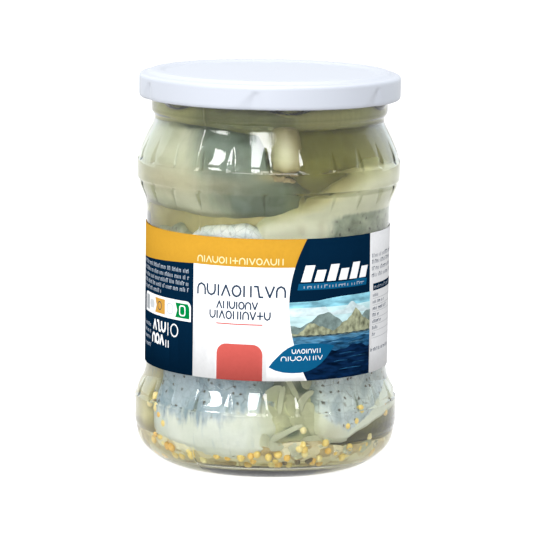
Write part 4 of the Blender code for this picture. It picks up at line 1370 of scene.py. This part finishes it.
def soft_light(name, azimuth, elevation, distance, width, height, brightness, colour=(1.0, 1.0, 1.0)):
    """A rectangular lamp that faces the jar's middle. Azimuth 0 is the camera's side."""
    lamp = bpy.data.lights.new(name, "AREA")
    lamp.shape = "RECTANGLE"
    lamp.size, lamp.size_y = width, height
    lamp.energy = 4.0 * width * height * brightness
    lamp.color = colour
    made = bpy.data.objects.new(name, lamp)
    a, e = math.radians(azimuth), math.radians(elevation)
    place = Vector((distance * math.cos(e) * math.sin(a), -distance * math.cos(e) * math.cos(a),
                    distance * math.sin(e) + LIGHT_AIM))
    made.location = place
    made.rotation_euler = (Vector((0, 0, LIGHT_AIM)) - place).to_track_quat("-Z", "Y").to_euler()
    bpy.context.scene.collection.objects.link(made)
    return made


soft_light("window_left", -50.0, 26.6, 1.3, 0.22, 0.48, 16.0)
soft_light("window_front", -8.0, 32.5, 1.3, 0.36, 0.78, 15.0, (0.95, 0.96, 1.0))
soft_light("overhead", 0.0, 80.0, 1.5, 1.2, 1.0, 4.9)
# Broad panels behind the jar's sides show only as the pale rim of its glass
for name, azimuth in (("rim_left", -138.0), ("rim_right", 138.0)):
    panel = soft_light(name, azimuth, 6.0, 1.3, 1.1, 1.2, 0.9, (0.78, 0.90, 1.0))
    panel.visible_diffuse = panel.visible_transmission = False

CAMERA_BACK, CAMERA_UP = 1.13035, 0.23678
CAMERA_PITCH, CAMERA_YAW, CAMERA_ROLL = 0.1531, 0.0008, 0.0155
SENSOR_WIDTH = 36.0
lens = bpy.data.cameras.new("camera")
lens.sensor_width = SENSOR_WIDTH
lens.lens = 3491.07 / 540.0 * SENSOR_WIDTH
camera = bpy.data.objects.new("camera", lens)
ahead = Vector((math.sin(CAMERA_YAW) * math.cos(CAMERA_PITCH),
                math.cos(CAMERA_YAW) * math.cos(CAMERA_PITCH), -math.sin(CAMERA_PITCH)))
right = Vector((math.cos(CAMERA_YAW), -math.sin(CAMERA_YAW), 0.0))
up = right.cross(ahead)
right_rolled = math.cos(CAMERA_ROLL) * right + math.sin(CAMERA_ROLL) * up
up_rolled = math.cos(CAMERA_ROLL) * up - math.sin(CAMERA_ROLL) * right
camera.matrix_world = Matrix.Translation((0.0, -CAMERA_BACK, CAMERA_UP)) @ Matrix(
    (right_rolled, up_rolled, -ahead)).transposed().to_4x4()
bpy.context.scene.collection.objects.link(camera)
bpy.context.scene.camera = camera
bpy.context.scene.view_settings.view_transform = "Standard"
